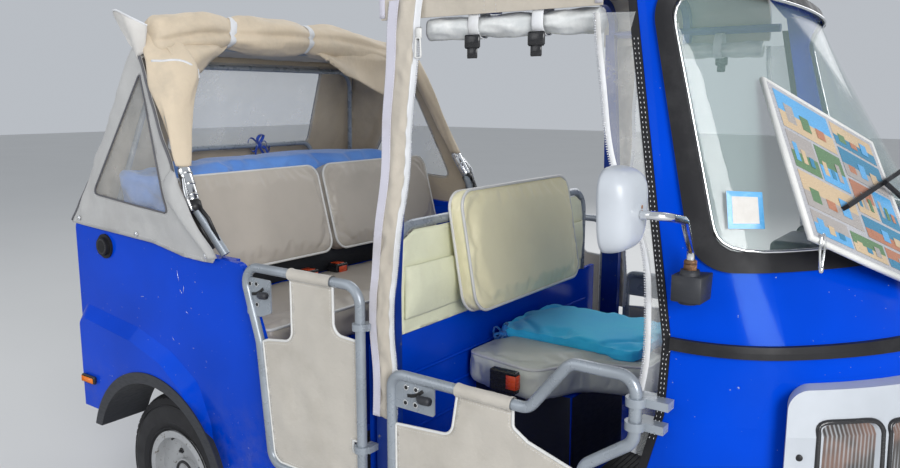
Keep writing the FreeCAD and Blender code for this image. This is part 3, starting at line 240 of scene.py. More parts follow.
def ribbed(name, colour):
    """Lamp glass over a bright bowl, moulded with upright ribs; the pale streaks along the ribs are painted
    glints of the bowl's reflected light.
    """
    t = Tree(name)
    ribs = t.wave(62.0, "Y")
    bowl = t.mix(t.remap(t.noise(16.0, 2.0), 0.42, 0.6), colour, (0.16, 0.10, 0.08))
    # Painted glints: pale grey mixed in along the ribs stands for reflected light.
    painted_glints = t.maths("MULTIPLY", t.remap(ribs, 0.35, 0.95, 0.0, 0.6), t.remap(t.noise(9.0, 2.0), 0.35, 0.6))
    return t.finish(t.mix(painted_glints, bowl, (0.40, 0.42, 0.44)), t.bump(ribs, 0.35, 0.0012), 0.1,
                    specular_ior_level=0.5)


def film(name, alpha):
    """Clear soft sheet with long soft ripples and milky creases."""
    t = Tree(name)
    milk = t.remap(t.noise(12.0, 6.0, rough=0.7), 0.4, 0.7)
    milky = t.mix(milk, (0.55, 0.57, 0.57), (0.8, 0.8, 0.78))
    return t.finish(milky, t.bump(t.noise(6.0, 4.0, (1, 1, 0.5)), 0.6, 0.02), 0.12, alpha=alpha,
                    specular_ior_level=0.9)


MATERIALS = {name: make(name, *values) for name, make, *values in (
    ("body_blue", enamel, (0.0, 0.052, 0.56)),
    ("chassis_black", paint, (0.022, 0.022, 0.024), 0.6, (0.09, 0.05, 0.03), 0.6),
    ("tube_silver", paint, (0.31, 0.345, 0.385), 0.3, (0.12, 0.12, 0.12), 0.68),
    ("tube_blue", paint, (0.006, 0.04, 0.30), 0.4),
    ("rim_silver", paint, (0.42, 0.43, 0.44), 0.42, (0.12, 0.10, 0.08), 0.6),
    ("engine_metal", metal, (0.34, 0.34, 0.34), 0.5),
    ("fork_steel", paint, (0.02, 0.02, 0.022), 0.4, (0.12, 0.07, 0.04), 0.66),
    ("chrome_bright", metal, (0.78, 0.79, 0.80), 0.08),
    ("tyre_black", rubber, (0.018, 0.018, 0.02)),
    ("seal_black", rubber, (0.012, 0.012, 0.014)),
    ("trim_black", plastic, (0.022, 0.024, 0.030), 0.55),
    ("white_plastic", plastic, (0.46, 0.49, 0.53), 0.34, 900.0, 0.01, 0.05),
    ("dash_black", plastic, (0.02, 0.02, 0.022), 0.5),
    ("lamp_lens", ribbed, (0.055, 0.05, 0.048)),
    ("lamp_black", plastic, (0.02, 0.02, 0.022), 0.25),
    ("screen_glass", glass, (0.30, 0.42, 0.40), 0.22),
    ("clear_film", film, 0.35),
    ("canvas_beige", canvas, (0.46, 0.415, 0.35)),
    ("canvas_grey", canvas, (0.40, 0.38, 0.35)),
    ("seat_beige", vinyl, (0.46, 0.415, 0.36), (0.38, 0.345, 0.30)),
    ("pad_blue", cloth, (0.05, 0.68, 1.0), (0.04, 0.56, 0.98)),
    ("cloth_blue", cloth, (0.14, 0.33, 0.80), (0.09, 0.24, 0.66)),
    ("board_card", plastic, (0.42, 0.42, 0.44), 0.3, 700.0, 0.02),
    ("buckle_black", plastic, (0.015, 0.015, 0.017), 0.3),
    # seat_yellow and seat_grey are the driver's backrest and seat vinyls: their own yellower and greyer
    # tone, made much brighter than seat_beige as painted sunlight.
    ("seat_yellow", vinyl, (0.86, 0.80, 0.53), (0.76, 0.70, 0.46)),
    ("seat_grey", vinyl, (0.60, 0.62, 0.55), (0.50, 0.52, 0.46)),
    ("piping_white", plastic, (0.66, 0.66, 0.64), 0.45),
    ("piping_dark", plastic, (0.10, 0.10, 0.11), 0.5),
    ("webbing", canvas, (0.50, 0.49, 0.56), 0.1),
    ("tape_white", canvas, (0.66, 0.67, 0.69), 0.15),
    ("canvas_roll", canvas, (0.60, 0.50, 0.37), 0.7),
    ("canvas_quarter", canvas, (0.40, 0.40, 0.395), 0.5, (0.30, 0.29, 0.28)),
    ("canvas_inside", canvas, (0.50, 0.42, 0.31), 0.8, (0.36, 0.29, 0.21)),
    ("canvas_lining", canvas, (0.62, 0.60, 0.57)),
    ("canvas_cover", canvas, (0.72, 0.73, 0.53), 0.5, (0.56, 0.54, 0.40)),
    ("amber", plastic, (0.75, 0.20, 0.02), 0.15, 300.0, 0.2),
    ("lamp_red", plastic, (0.42, 0.01, 0.01), 0.15, 300.0, 0.2),
    ("hole_black", plastic, (0.008, 0.008, 0.009), 0.8),
    ("mirror_glass", metal, (0.80, 0.83, 0.86), 0.02),
    ("nut_rust", paint, (0.17, 0.09, 0.045), 0.7, (0.30, 0.15, 0.07), 0.5),
    ("ribbon", cloth, (0.012, 0.055, 0.36), (0.008, 0.035, 0.26)),
    ("ribbon_sky", cloth, (0.03, 0.24, 0.62), (0.02, 0.16, 0.50)),
    ("card_sky", plastic, (0.10, 0.36, 0.66), 0.25),
    ("card_sand", plastic, (0.56, 0.42, 0.26), 0.25),
    ("card_sea", plastic, (0.03, 0.20, 0.34), 0.25),
    ("card_stone", plastic, (0.36, 0.33, 0.31), 0.25),
    ("card_green", plastic, (0.10, 0.20, 0.09), 0.25),
    ("card_white", plastic, (0.56, 0.56, 0.55), 0.35),
    ("card_clay", plastic, (0.42, 0.17, 0.09), 0.25),
    ("film_rolled", film, 0.93),
    ("canvas_door", canvas, (0.45, 0.42, 0.37), 0.35),
    ("zip_metal", metal, (0.72, 0.73, 0.76), 0.2),
    ("buckle_red", plastic, (0.62, 0.07, 0.02), 0.3),
)}
for row in frame["record"]["subparts"]:
    NODES[row["node"]].data.materials.clear()
    NODES[row["node"]].data.materials.append(MATERIALS[row["material_slot"]])


def merged(*shapes):
    verts, faces = [], []
    for v, f in shapes:
        base = len(verts)
        verts += list(v)
        faces += [tuple(i + base for i in face) for face in f]
    return verts, faces


def piece(name, shape, finish, body="body", smooth=True):
    """Piece of one shape or of a list of shapes."""
    verts, faces = merged(*shape) if isinstance(shape, list) else shape
    mesh = bpy.data.meshes.new(name)
    mesh.from_pydata([tuple(v) for v in verts], [], faces)
    mesh.validate()
    mesh.polygons.foreach_set("use_smooth", [smooth] * len(mesh.polygons))
    mesh.materials.append(MATERIALS[finish])
    obj = place_in_scene(bpy.data.objects.new(name, mesh))
    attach(obj, body)
    return obj


def area(verts, faces):
    total = 0.0
    for face in faces:
        a, *others = (Vector(verts[i]) for i in face)
        total += sum((b - a).cross(c - a).length / 2 for b, c in zip(others, others[1:]))
    return total


def sheet(name, shape, finish, thick=0.0, instead=None, body="body"):
    """Sheet piece, made solid when thick is given, standing in for the part it hides."""
    obj = piece(name, shape, finish, body)
    if thick:
        solid = obj.modifiers.new("thick", "SOLIDIFY")
        solid.thickness = thick
        solid.offset = 0.0
    if instead:
        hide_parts(instead)
    size = area(*shape)
    return obj


def surface(obj):
    return bvhtree.BVHTree.FromObject(obj, bpy.context.evaluated_depsgraph_get())


def snapped(obj, points, lift):
    """Points moved onto a piece's surface."""
    tree = surface(obj)
    found = [tree.find_nearest(Vector(p)) for p in points]
    return [hit[0] + hit[1] * lift for hit in found]


def fold(p, scale, seed=0.0):
    shift = (seed, seed * 1.7, -seed)
    return noise.noise(Vector([a * s + d for a, s, d in zip(p, scale, shift)]))


def turns(count):
    """Angles of a full turn in equal steps."""
    return [2 * math.pi * k / count for k in range(count)]


def ring(centre, across, up, count):
    """Points of an ellipse, given by its two half axes."""
    return [centre + across * math.cos(a) + up * math.sin(a) for a in turns(count)]


def pairs(line, closed=True):
    """Each point of a line with the one that follows it."""
    return list(zip(line, line[1:] + line[:1] if closed else line[1:]))


def neighbours(points, closed):
    """Each point with the ones before and after it; an open line's ends stand for themselves."""
    if closed:
        return list(zip(points[-1:] + points[:-1], points, points[1:] + points[:1]))
    return list(zip(points[:1] + points[:-1], points, points[1:] + points[-1:]))


def curve(points, step, closed=False):
    """Smooth line through points, a point about every step."""
    points = [Vector(p) for p in points]
    count = len(points)
    result = []
    for i in range(count if closed else count - 1):
        b, c = points[i], points[(i + 1) % count]
        a = points[i - 1] if closed or i else b * 2 - c
        d = points[(i + 2) % count] if closed or i < count - 2 else c * 2 - b
        parts = max(1, round((c - b).length / step))
        for t in (k / parts for k in range(parts)):
            result.append(((b * 2) + (c - a) * t + (a * 2 - b * 5 + c * 4 - d) * t * t
                           + (b * 3 - a - c * 3 + d) * t ** 3) / 2)
    return result if closed else result + points[-1:]


def ring_faces(rings, sides, closed=False, caps=True):
    faces = []
    for i in range(rings if closed else rings - 1):
        a, b = i * sides, ((i + 1) % rings) * sides
        faces += [(a + k, b + k, b + n, a + n) for k, n in pairs(list(range(sides)))]
    if caps and not closed:
        faces.append(tuple(range(sides)))
        faces.append(tuple(range((rings - 1) * sides, rings * sides))[::-1])
    return faces


def grid(rows, columns, place):
    """Net of points, place giving each from its row and column."""
    verts = [place(i, k) for i in range(rows) for k in range(columns)]
    corners = [i * columns + k for i in range(rows - 1) for k in range(columns - 1)]
    return verts, [(n, n + 1, n + columns + 1, n + columns) for n in corners]


def tube(line, sides, reach, caps=True):
    """Form along a line, reach giving each point's way from the line."""
    verts = [p + reach(i, p, a) for i, p in enumerate(line) for a in turns(sides)]
    return verts, ring_faces(len(line), sides, False, caps)


def sweep(points, radius, sides=8, closed=False):
    """Round bar along a line; radius is one number or one a point."""
    verts = []
    normal = None
    for i, (before, p, after) in enumerate(neighbours([Vector(p) for p in points], closed)):
        along = (after - before).normalized()
        if normal is None:
            normal = along.orthogonal()
        normal = (normal - along * normal.dot(along)).normalized()
        r = radius[i] if isinstance(radius, (list, tuple)) else radius
        verts += ring(p, normal * r, along.cross(normal) * r, sides)
    return verts, ring_faces(len(points), sides, closed)


def band(points, facing, width, thick, closed=False):
    """Flat strap along a line, its outer face towards facing."""
    verts = []
    for i, (before, p, after) in enumerate(neighbours([Vector(p) for p in points], closed)):
        face = facing[i] if isinstance(facing, list) else Vector(facing)
        along = (after - before).normalized()
        face = (face - along * face.dot(along)).normalized()
        side = along.cross(face) * (width / 2)
        out = face * (thick / 2)
        verts += [p + side * 0.86 + out, p - side * 0.86 + out, p - side, p - side * 0.86 - out,
                  p + side * 0.86 - out, p + side]
    return verts, ring_faces(len(points), 6, closed)


def block(low, high, bevel):
    """Box with bevelled upright and level edges."""
    low, high = Vector(low), Vector(high)
    b = min(bevel, *[(h - l) / 2.01 for l, h in zip(low, high)])
    verts = []
    for inset, z in ((b, low.z), (0.0, low.z + b), (0.0, high.z - b), (b, high.z)):
        x0, x1, y0, y1 = low.x + inset, high.x - inset, low.y + inset, high.y - inset
        corners = ((x0 + b, y0), (x1 - b, y0), (x1, y0 + b), (x1, y1 - b), (x1 - b, y1), (x0 + b, y1),
                   (x0, y1 - b), (x0, y0 + b))
        verts += [Vector((x, y, z)) for x, y in corners]
    return verts, ring_faces(4, 8)


def around(centre, half, bevel):
    """Bevelled box given by its middle and half its size."""
    half = Vector(half)
    return block(centre - half, centre + half, bevel)


def disc(centre, axis, radius, height, sides=20, edge=0.2):
    """Short round piece standing on centre, with a bevelled rim."""
    axis = Vector(axis).normalized()
    side = axis.orthogonal().normalized()
    verts = []
    for r, h in ((radius, 0.0), (radius, height * (1 - edge)), (radius * (1 - edge * 0.5), height)):
        verts += ring(Vector(centre) + axis * h, side * r, axis.cross(side) * r, sides)
    return verts, ring_faces(3, sides)


def prism(back, front):
    """Block between two four-sided faces."""
    return front + back, [(0, 1, 2, 3), (7, 6, 5, 4)] + [(k, 4 + k, 4 + n, n) for k, n in
                                                         pairs([0, 1, 2, 3])]


def stitches(line, length=0.004, gap=0.003, radius=0.0006):
    """Thread along a line as short raised dashes."""
    shapes = []
    travelled = 0.0
    for a, b in pairs(line, False):
        span = (b - a).length
        along = (b - a).normalized()
        side = along.orthogonal().normalized() * radius
        while travelled < span:
            start = a + along * travelled
            end = start + along * length
            waist = ring((start + end) / 2, side, along.cross(side), 4)
            faces = [f for k, n in pairs([2, 3, 4, 5]) for f in ((0, k, n), (1, n, k))]
            shapes.append(([start, end] + waist, faces))
            travelled += length + gap
        travelled -= span
    return merged(*shapes)


# Flat outlines
def inside(point, loop):
    x, y = point
    odd = False
    for (x0, y0), (x1, y1) in pairs(loop):
        if (y0 > y) != (y1 > y) and x < (x1 - x0) * (y - y0) / (y1 - y0) + x0:
            odd = not odd
    return odd


def line_distance(p, loop):
    p = Vector(p)
    best = math.inf
    for a, b in pairs([Vector(q) for q in loop]):
        foot, share = geometry.intersect_point_line(p, a, b)
        foot = a if share < 0 else b if share > 1 else foot
        best = min(best, (foot - p).length)
    return best


def rounded(corners, bend):
    """Closed flat outline with its corners rounded."""
    result = []
    bends = bend if isinstance(bend, tuple) else [bend] * len(corners)
    for (a, b, c), r in zip(neighbours([Vector(p) for p in corners], True), bends):
        start, end = b + (a - b).normalized() * r, b + (c - b).normalized() * r
        result += [tuple(start * (1 - t) ** 2 + b * 2 * t * (1 - t) + end * t * t)
                   for t in (k / 6 for k in range(7))]
    return result


def dense(line, step, closed=True):
    """Line with a point at least every step."""
    result = []
    for a, b in pairs([Vector(p) for p in line], closed):
        parts = max(1, math.ceil((b - a).length / step))
        result += [tuple(a.lerp(b, k / parts)) for k in range(parts)]
    return result if closed else result + [tuple(line[-1])]


def offset(loop, distance):
    """Closed flat outline grown outwards."""
    turn = sum(a[0] * b[1] - b[0] * a[1] for a, b in pairs(loop))
    grow = distance if turn > 0 else -distance
    result = []
    for a, p, b in neighbours([Vector(q) for q in loop], True):
        along = (b - a).normalized()
        result.append((p.x + along.y * grow, p.y - along.x * grow))
    return result


def patch(outline, holes, step):
    """Flat outline filled with small triangles, its holes left open."""
    loops = [dense(loop, step) for loop in [outline] + holes]

    def filled(point):
        return inside(point, loops[0]) and not any(inside(point, hole) for hole in loops[1:])

    points, edges = [], []
    for loop in loops:
        edges += pairs(list(range(len(points), len(points) + len(loop))))
        points += loop
    rim = list(points)
    xs, ys = zip(*loops[0])
    row, y = 0, min(ys) + step * 0.5
    while y < max(ys):
        x = min(xs) + step * (0.5 + 0.5 * (row % 2))
        while x < max(xs):
            if filled((x, y)) and min((x - a) ** 2 + (y - b) ** 2 for a, b in rim) > (step * 0.5) ** 2:
                points.append((x, y))
            x += step
        row += 1
        y += step * 0.87
    verts, _, faces = geometry.delaunay_2d_cdt([Vector(p) for p in points], edges, [], 0, 1e-6)[:3]
    kept = [tuple(face) for face in faces
            if filled(sum((verts[i] for i in face), Vector((0, 0))) / len(face))]
    return [tuple(v) for v in verts], kept


def even(line, step):
    """Closed line with points at even distances."""
    size = sum((b - a).length for a, b in pairs(line))
    count = max(8, round(size / step))
    result, travelled, wanted = [], 0.0, 0.0
    for a, b in pairs(line):
        length = (b - a).length
        while wanted <= travelled + length and len(result) < count:
            result.append(a.lerp(b, (wanted - travelled) / max(length, 1e-9)))
            wanted += size / count
        travelled += length
    return result


def even_open(line, count):
    """Open line with count points at even distances."""
    sizes = [(b - a).length for a, b in pairs(line, False)]
    total, result, i, before = sum(sizes), [], 0, 0.0
    for k in range(count):
        wanted = total * k / (count - 1)
        while i < len(sizes) - 1 and before + sizes[i] < wanted:
            before += sizes[i]
            i += 1
        result.append(line[i].lerp(line[i + 1], min(1.0, (wanted - before) / sizes[i])))
    return result


def walk(edges, first):
    """Points of the closed line that a set of edges makes, from its first edge."""
    edges.discard(first)
    start, here = first.verts
    line = [start.co.copy()]
    while here is not start:
        line.append(here.co.copy())
        following = next((e for e in here.link_edges if e in edges), None)
        if following is None:
            break
        edges.discard(following)
        here = following.other_vert(here)
    return line


def welded(mesh):
    b = bmesh.new()
    b.from_mesh(mesh)
    bmesh.ops.remove_doubles(b, verts=b.verts[:], dist=1e-5)
    return b


# Cushions
def node_copy(node, keep=None):
    mesh = NODES[node].data.copy()
    if keep:
        b = bmesh.new()
        b.from_mesh(mesh)
        bmesh.ops.delete(b, geom=[v for v in b.verts if not keep(v.co)], context="VERTS")
        b.to_mesh(mesh)
        b.free()
    return mesh


def section(mesh, place, normal):
    """Closed line where a plane cuts a mesh."""
    b = welded(mesh)
    everything = b.verts[:] + b.edges[:] + b.faces[:]
    cut = bmesh.ops.bisect_plane(b, geom=everything, plane_co=place, plane_no=normal, dist=1e-6)
    edges = {e for e in cut["geom_cut"] if isinstance(e, bmesh.types.BMEdge)}
    line = walk(edges, min(edges, key=lambda e: e.index if e.index >= 0 else math.inf))
    b.free()
    return even(line, 0.008)


def bake(obj):
    """The mesh becomes what the modifiers make of it."""
    bpy.context.view_layer.update()
    graph = bpy.context.evaluated_depsgraph_get()
    obj.data = bpy.data.meshes.new_from_object(obj.evaluated_get(graph))
    obj.modifiers.clear()


CLOTH = {"quality": 6, "mass": 0.2, "tension_stiffness": 30.0, "compression_stiffness": 30.0,
         "shear_stiffness": 12.0, "bending_stiffness": 0.6, "use_pressure": True}
CLOTH_FRAMES = 20


def inflate(obj, pins, pressure, loose, cap):
    """Blows a cover up between its pinned points; no point moves further than cap."""
    obj.vertex_groups.new(name="seam").add(pins, 1.0, "REPLACE")
    modifier = obj.modifiers.new("cloth", "CLOTH")
    settings = modifier.settings
    for name, value in CLOTH.items():
        setattr(settings, name, value)
    settings.uniform_pressure_force = pressure
    settings.vertex_group_mass = "seam"
    settings.shrink_min = -loose
    settings.effector_weights.gravity = 0.0
    modifier.point_cache.frame_start = 1
    modifier.point_cache.frame_end = CLOTH_FRAMES
    for number in range(1, CLOTH_FRAMES + 1):
        bpy.context.scene.frame_set(number)
    graph = bpy.context.evaluated_depsgraph_get()
    moved = [v.co.copy() for v in obj.evaluated_get(graph).data.vertices]
    bpy.context.scene.frame_set(1)
    obj.modifiers.clear()
    obj.vertex_groups.clear()
    for vertex, place in zip(obj.data.vertices, moved):
        shift = place - vertex.co
        vertex.co += shift * min(1.0, cap / max(shift.length, 1e-9))


def soften(name, mesh, finish, voxel, seams, pressure=4.0, loose=0.03, cap=0.012, fill=0.8):
    """Padded piece: cover remeshed, blown up between its seams as cloth, then refined."""
    obj = place_in_scene(bpy.data.objects.new(name, mesh))
    remesh = obj.modifiers.new("remesh", "REMESH")
    remesh.mode = "VOXEL"
    remesh.voxel_size = voxel
    bake(obj)
    points = [p for seam in seams for p in seam]
    tree = kdtree.KDTree(len(points))
    for i, p in enumerate(points):
        tree.insert(p, i)
    tree.balance()
    pins = [i for i, v in enumerate(obj.data.vertices) if tree.find(v.co)[2] < voxel * 1.1]
    inflate(obj, pins, pressure, loose, cap)
    refine = obj.modifiers.new("refine", "SUBSURF")
    refine.levels = refine.render_levels = 1
    bake(obj)
    obj.data.materials.clear()
    obj.data.materials.append(MATERIALS[finish])
    obj.data.polygons.foreach_set("use_smooth", [True] * len(obj.data.polygons))
    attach(obj, "body")
    return obj


def level(*heights):
    return [(UP * z, UP) for z in heights]


def leaning(place, rise, run, depth):
    """Planes of the front and back seam of a backrest."""
    slope = math.atan2(rise, run)
    face = Vector((math.cos(slope), 0, math.sin(slope)))
    front = Vector(place) - face * 0.004
    return [(front, face), (front - face * depth, face)]


def cushion(name, node, planes, finish, voxel, keep=None, sunlit_finish=None, **filling):
    """Returns the piece and its seam lines."""
    mesh = node_copy(node, keep)
    seams = [section(mesh, *plane) for plane in planes]
    obj = soften(name, mesh, finish, voxel, seams, **filling)
    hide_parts(node)
    # A brighter finish given here replaces the cover's vinyl: painted sunlight on the driver's seat.
    if sunlit_finish:
        obj.data.materials[0] = MATERIALS[sunlit_finish]
    return obj, seams


def piping(name, lines, radius):
    piece(name, [sweep(line, radius, 7, True) for line in lines], "piping_white")


def make_cushions():
    for side, sign in SIDES:
        planes = leaning((-0.812, 0, 0.872), 0.081, 0.300, 0.056)
        seams = cushion("backrest_" + side, "rear_backrests", planes, "seat_beige", 0.009,
                        lambda p: p.y * sign > 0)[1]
        piping("backrest_piping_" + side, seams[:1], 0.0042)
    seams = cushion("bench_cushion", "rear_bench", level(0.771, 0.684), "seat_beige", 0.013, fill=0.9)[1]
    piping("bench_piping", seams[:1], 0.0045)
    # Driver's backrest and seat take brighter vinyls in place of seat_beige, partly their own tone and
    # partly painted sunlight.
    planes = leaning((-0.018, 0, 0.838), 0.058, 0.320, 0.041)
    seams = cushion("driver_backrest_cushion", "driver_backrest", planes, "seat_beige", 0.009,
                    sunlit_finish="seat_yellow")[1]
    piping("driver_backrest_piping", seams, 0.0042)
    seams = cushion("driver_seat_cushion", "driver_seat", level(0.697, 0.619), "seat_beige", 0.009,
                    sunlit_finish="seat_grey")[1]
    piping("driver_seat_piping", seams[:1], 0.004)
    cushion("loose_pad", "driver_pad", level(0.7215), "pad_blue", 0.008,
            pressure=3.0, loose=0.06, cap=0.010, fill=0.5)
    shelf = cushion("covered_shelf", "shelf_cover", level(1.03), "cloth_blue", 0.014,
                    pressure=1.0, loose=0.10, cap=0.028, fill=0.3)[0]
    for vertex in shelf.data.vertices:
        p = vertex.co
        slack = (fold(p, (9, 5, 9), 3.0) - 0.4) * min(1, (p.z - 1.0) * 12)
        vertex.co = p + Vector((0.006, 0, 0.010)) * slack


make_cushions()


# Hood: its corners on the left side, as in the frame
HOOD_LOW = Vector((-0.655, 0.640, 0.972))
HOOD_KNEE = Vector((-0.742, 0.662, 1.110))
HOOD_TOP = Vector((-1.002, 0.594, 1.552))
HOOD_REAR_TOP = Vector((-1.160, 0.470, 1.525))
HOOD_REAR_LOW = Vector((-1.372, 0.632, 1.008))
HOOD_HEM = [(-0.640, 0.962), (-0.652, 0.950), (-0.70, 0.949), (-0.785, 0.952), (-0.925, 0.976),
            (-1.16, 0.986), (HOOD_REAR_LOW.x, HOOD_REAR_LOW.z - 0.014)]
HOOD_FRONT = [(-0.935, 1.436), (-0.868, 1.326), (-0.808, 1.224), (HOOD_KNEE.x, HOOD_KNEE.z), (-0.690, 1.040)]
HOOD_MIDDLE = Vector((-1.02, 0.0, 1.15))
QUARTER_HOLE = rounded([(-1.226, 1.098), (-0.812, 1.072), (-0.981, 1.458)], (0.03, 0.026, 0.014))
REAR_HOLE = rounded([(-0.330, 1.210), (0.330, 1.210), (0.300, 1.500), (-0.300, 1.500)], 0.03)
CANVAS_STEP = 0.013
CANVAS_THICK = 0.0022
TURNED_EDGE = (
    [(-0.790, 1.196), (-0.826, 1.160), (-0.812, 1.115), (-0.776, 1.080), (-0.715, 1.021), (-0.652, 0.966)],
    [(-0.770, 1.190), (-0.750, 1.150), (-0.716, 1.108), (-0.678, 1.044), (-0.640, 0.990), (-0.628, 0.966)])


def plane_y(a, b, c, x, z):
    n = (b - a).cross(c - a)
    return a.y - (n.x * (x - a.x) + n.z * (z - a.z)) / n.y


def side_y(x, z):
    """Distance of the hood's side from the middle, its edges softly rounded."""
    corners = (HOOD_LOW, HOOD_KNEE, HOOD_TOP, HOOD_REAR_TOP)
    values = [plane_y(a, b, HOOD_REAR_LOW, x, z) for a, b in zip(corners, corners[1:])]
    return -0.005 * math.log(sum(math.exp(-(v - 0.6) / 0.005) for v in values)) + 0.6 + 0.004


def rear_x(z):
    a, b = HOOD_REAR_LOW, HOOD_REAR_TOP
    return a.x + (b.x - a.x) * (z - a.z) / (b.z - a.z)


def calm(p):
    """Nought at the clear windows and the hem, one on free canvas."""
    near = 1.0
    for point, hole, far in (((p.x, p.z), QUARTER_HOLE, abs(p.y) < 0.45),
                             ((p.y, p.z), REAR_HOLE, p.x > -1.10)):
        if not far:
            near = min(near, 0.0 if inside(point, hole) else line_distance(point, hole))
    return min(1.0, max(0.0, near - 0.008) / 0.05) * min(1.0, max(0.0, p.z - 0.985) / 0.05)


def ruffled(p):
    """Place on the canvas after its slack and creases."""
    out = (p - HOOD_MIDDLE).normalized()
    slack = 0.016 * fold(p, (3.1, 3.1, 2.2), 1.0) + 0.007 * fold(p, (9, 9, 5), 2.0)
    crease = 0.005 * (1 - abs(fold(p, (14, 14, 6), 5.0)) * 3)
    return p + out * (slack + crease) * calm(p)


def hood_sheet(name, outline, hole, place):
    points, faces = patch(outline, [hole], CANVAS_STEP)
    verts = [ruffled(place(*point)) for point in points]
    a, b, c = (verts[i] for i in faces[0][:3])
    if (b - a).cross(c - a).dot(a - HOOD_MIDDLE) < 0:
        faces = [face[::-1] for face in faces]
    obj = sheet(name, (verts, faces), "canvas_quarter", CANVAS_THICK, "hood_canvas")
    obj.data.materials.append(MATERIALS["canvas_inside"])
    obj.modifiers["thick"].material_offset = 1


def stud(place, out):
    cap = disc(place + out * 0.003, out, 0.0044, 0.002, 12, 0.6)
    return merged(disc(place, out, 0.008, 0.003, 16), cap)


def make_hood_side(name, sign):
    def place(x, z):
        return Vector((x, sign * side_y(x, z), z))

    rear_edge = [(rear_x(z), z) for z in (1.008, 1.14, 1.27, 1.40, 1.525)]
    top_edge = [[low + (high - low) * t for low, high in zip(HOOD_REAR_TOP.xz, HOOD_TOP.xz)]
                for t in (0.33, 0.67, 1.0)]
    outline = HOOD_HEM + rear_edge + top_edge + HOOD_FRONT
    hood_sheet("hood_side_" + name, outline, QUARTER_HOLE, place)
    lift = Vector((0, sign * CANVAS_THICK, 0))
    hole = [ruffled(place(*p)) + lift for p in dense(QUARTER_HOLE, 0.012)]
    piece("hood_window_piping_" + name, sweep(hole, 0.0026, 6, True), "piping_dark")
    wide = [ruffled(place(*p)) + lift * 0.9 for p in dense(offset(QUARTER_HOLE, 0.010), 0.012)]
    hem = [ruffled(place(x, z + 0.012)) + lift for x, z in dense(HOOD_HEM[1:], 0.02, False)]
    front = dense(HOOD_FRONT[::-1] + [(HOOD_TOP.x, HOOD_TOP.z)], 0.02, False)
    front = [ruffled(place(*p) + Vector((-0.004, sign * 0.003, 0))) for p in front]
    piece("hood_front_edge_" + name, sweep(front, 0.0042, 6), "piping_dark")
    rear = [ruffled(place(rear_x(z), z)) + Vector((-0.001, sign * 0.002, 0))
            for z in (1.0 + 0.02 * k for k in range(27))]
    piece("hood_rear_seam_" + name, sweep(rear, 0.0034, 6), "piping_dark")
    piece("hood_stitches_" + name, [stitches(wide + wide[:1]), stitches(hem)], "tape_white")
    studs = [stud(place(x, z) + lift * 0.6, Vector((0, sign, 0)))
             for x, z in ((-1.320, 1.013), (-1.000, 0.994), (-0.677, 0.968))]
    piece("hood_studs_" + name, studs, "chrome_bright")
    edge = offset(QUARTER_HOLE, 0.008)
    points, faces = patch(edge, [], 0.02)
    verts = []
    for x, z in points:
        wave = 0.006 * fold((x, 0, z), (6, 1, 3), 4.0) * min(1, line_distance((x, z), edge) / 0.03)
        verts.append(place(x, z) - lift * 1.2 + Vector((0, sign * wave, 0)))
    sheet("hood_side_pane_" + name, (verts, faces), "clear_film",
          instead="hood_windows")


def make_turned_edge(name, sign):
    """The front edge folded back over the side."""
    rows, columns = 30, 9
    a, b = (even_open(curve([(x, 0, z) for x, z in line], 0.01), rows) for line in TURNED_EDGE)

    def at(i, k):
        t = k / (columns - 1)
        p = a[i].lerp(b[i], t)
        y = side_y(p.x, p.z) + 0.004 + 0.016 * math.sin(math.pi * t) * min(1, (i + 2) / 8)
        y += 0.003 * math.sin(9 * t + i * 0.3) * t
        return Vector((p.x, sign * y, p.z))

    net = grid(rows, columns, at)
    sheet("hood_turned_edge_" + name, net, "canvas_quarter", 0.002)


def make_hood_rear():
    edge = [(side_y(rear_x(z), z), z) for z in (0.995, 1.008, 1.10, 1.20, 1.30, 1.40, 1.47, 1.525)]
    outline = edge + [(-y, z) for y, z in reversed(edge)]
    hood_sheet("hood_rear", outline, REAR_HOLE, lambda y, z: Vector((rear_x(z), y, z)))
    hole = [ruffled(Vector((rear_x(z) - 0.002, y, z))) for y, z in dense(REAR_HOLE, 0.015)]
    piece("hood_rear_piping", sweep(hole, 0.0028, 6, True), "piping_dark")
    studs = [stud(Vector((rear_x(1.02) - 0.002, y, 1.02)), Vector((-1, 0, 0)))
             for y in (-0.45, -0.15, 0.15, 0.45)]
    piece("hood_rear_studs", studs, "chrome_bright")
    points, faces = patch(offset(REAR_HOLE, 0.008), [], 0.03)
    verts = [Vector((rear_x(z) + 0.003 + 0.007 * fold((0, y, z), (1, 4, 4), 6.0), y, z)) for y, z in points]
    sheet("hood_rear_pane", (verts, faces), "clear_film", instead="hood_windows")


def make_hood_top():
    """Canvas between the main and the rear bow."""
    rows, columns = 13, 91

    def over(i, k):
        t, share = i / (rows - 1), -1 + 2 * k / (columns - 1)
        p = HOOD_REAR_TOP.lerp(HOOD_TOP, t)
        sag = -0.010 * math.sin(math.pi * t)
        return ruffled(Vector((p.x, share * side_y(p.x, p.z), p.z + sag * (1 - share ** 4))))

    sheet("hood_top", grid(rows, columns, over), "canvas_beige", CANVAS_THICK,
          "hood_canvas")


for side_name, side_sign in SIDES:
    make_hood_side(side_name, side_sign)
    make_turned_edge(side_name, side_sign)
make_hood_rear()
make_hood_top()


# Rolled front part of the hood, its straps and what hangs from it
ROLL_X = -0.960
ROLL_LINE = [(-0.590, 1.556), (-0.50, 1.573), (-0.40, 1.584), (-0.1, 1.586), (0.150, 1.580), (0.36, 1.552),
             (0.535, 1.518)]
ROLL_STRAPS = (-0.325, 0.008)
BOW_KNEE = Vector((-0.722, 0.640, 1.102))
BOW_CORNER = Vector((-0.972, 0.585, 1.545))
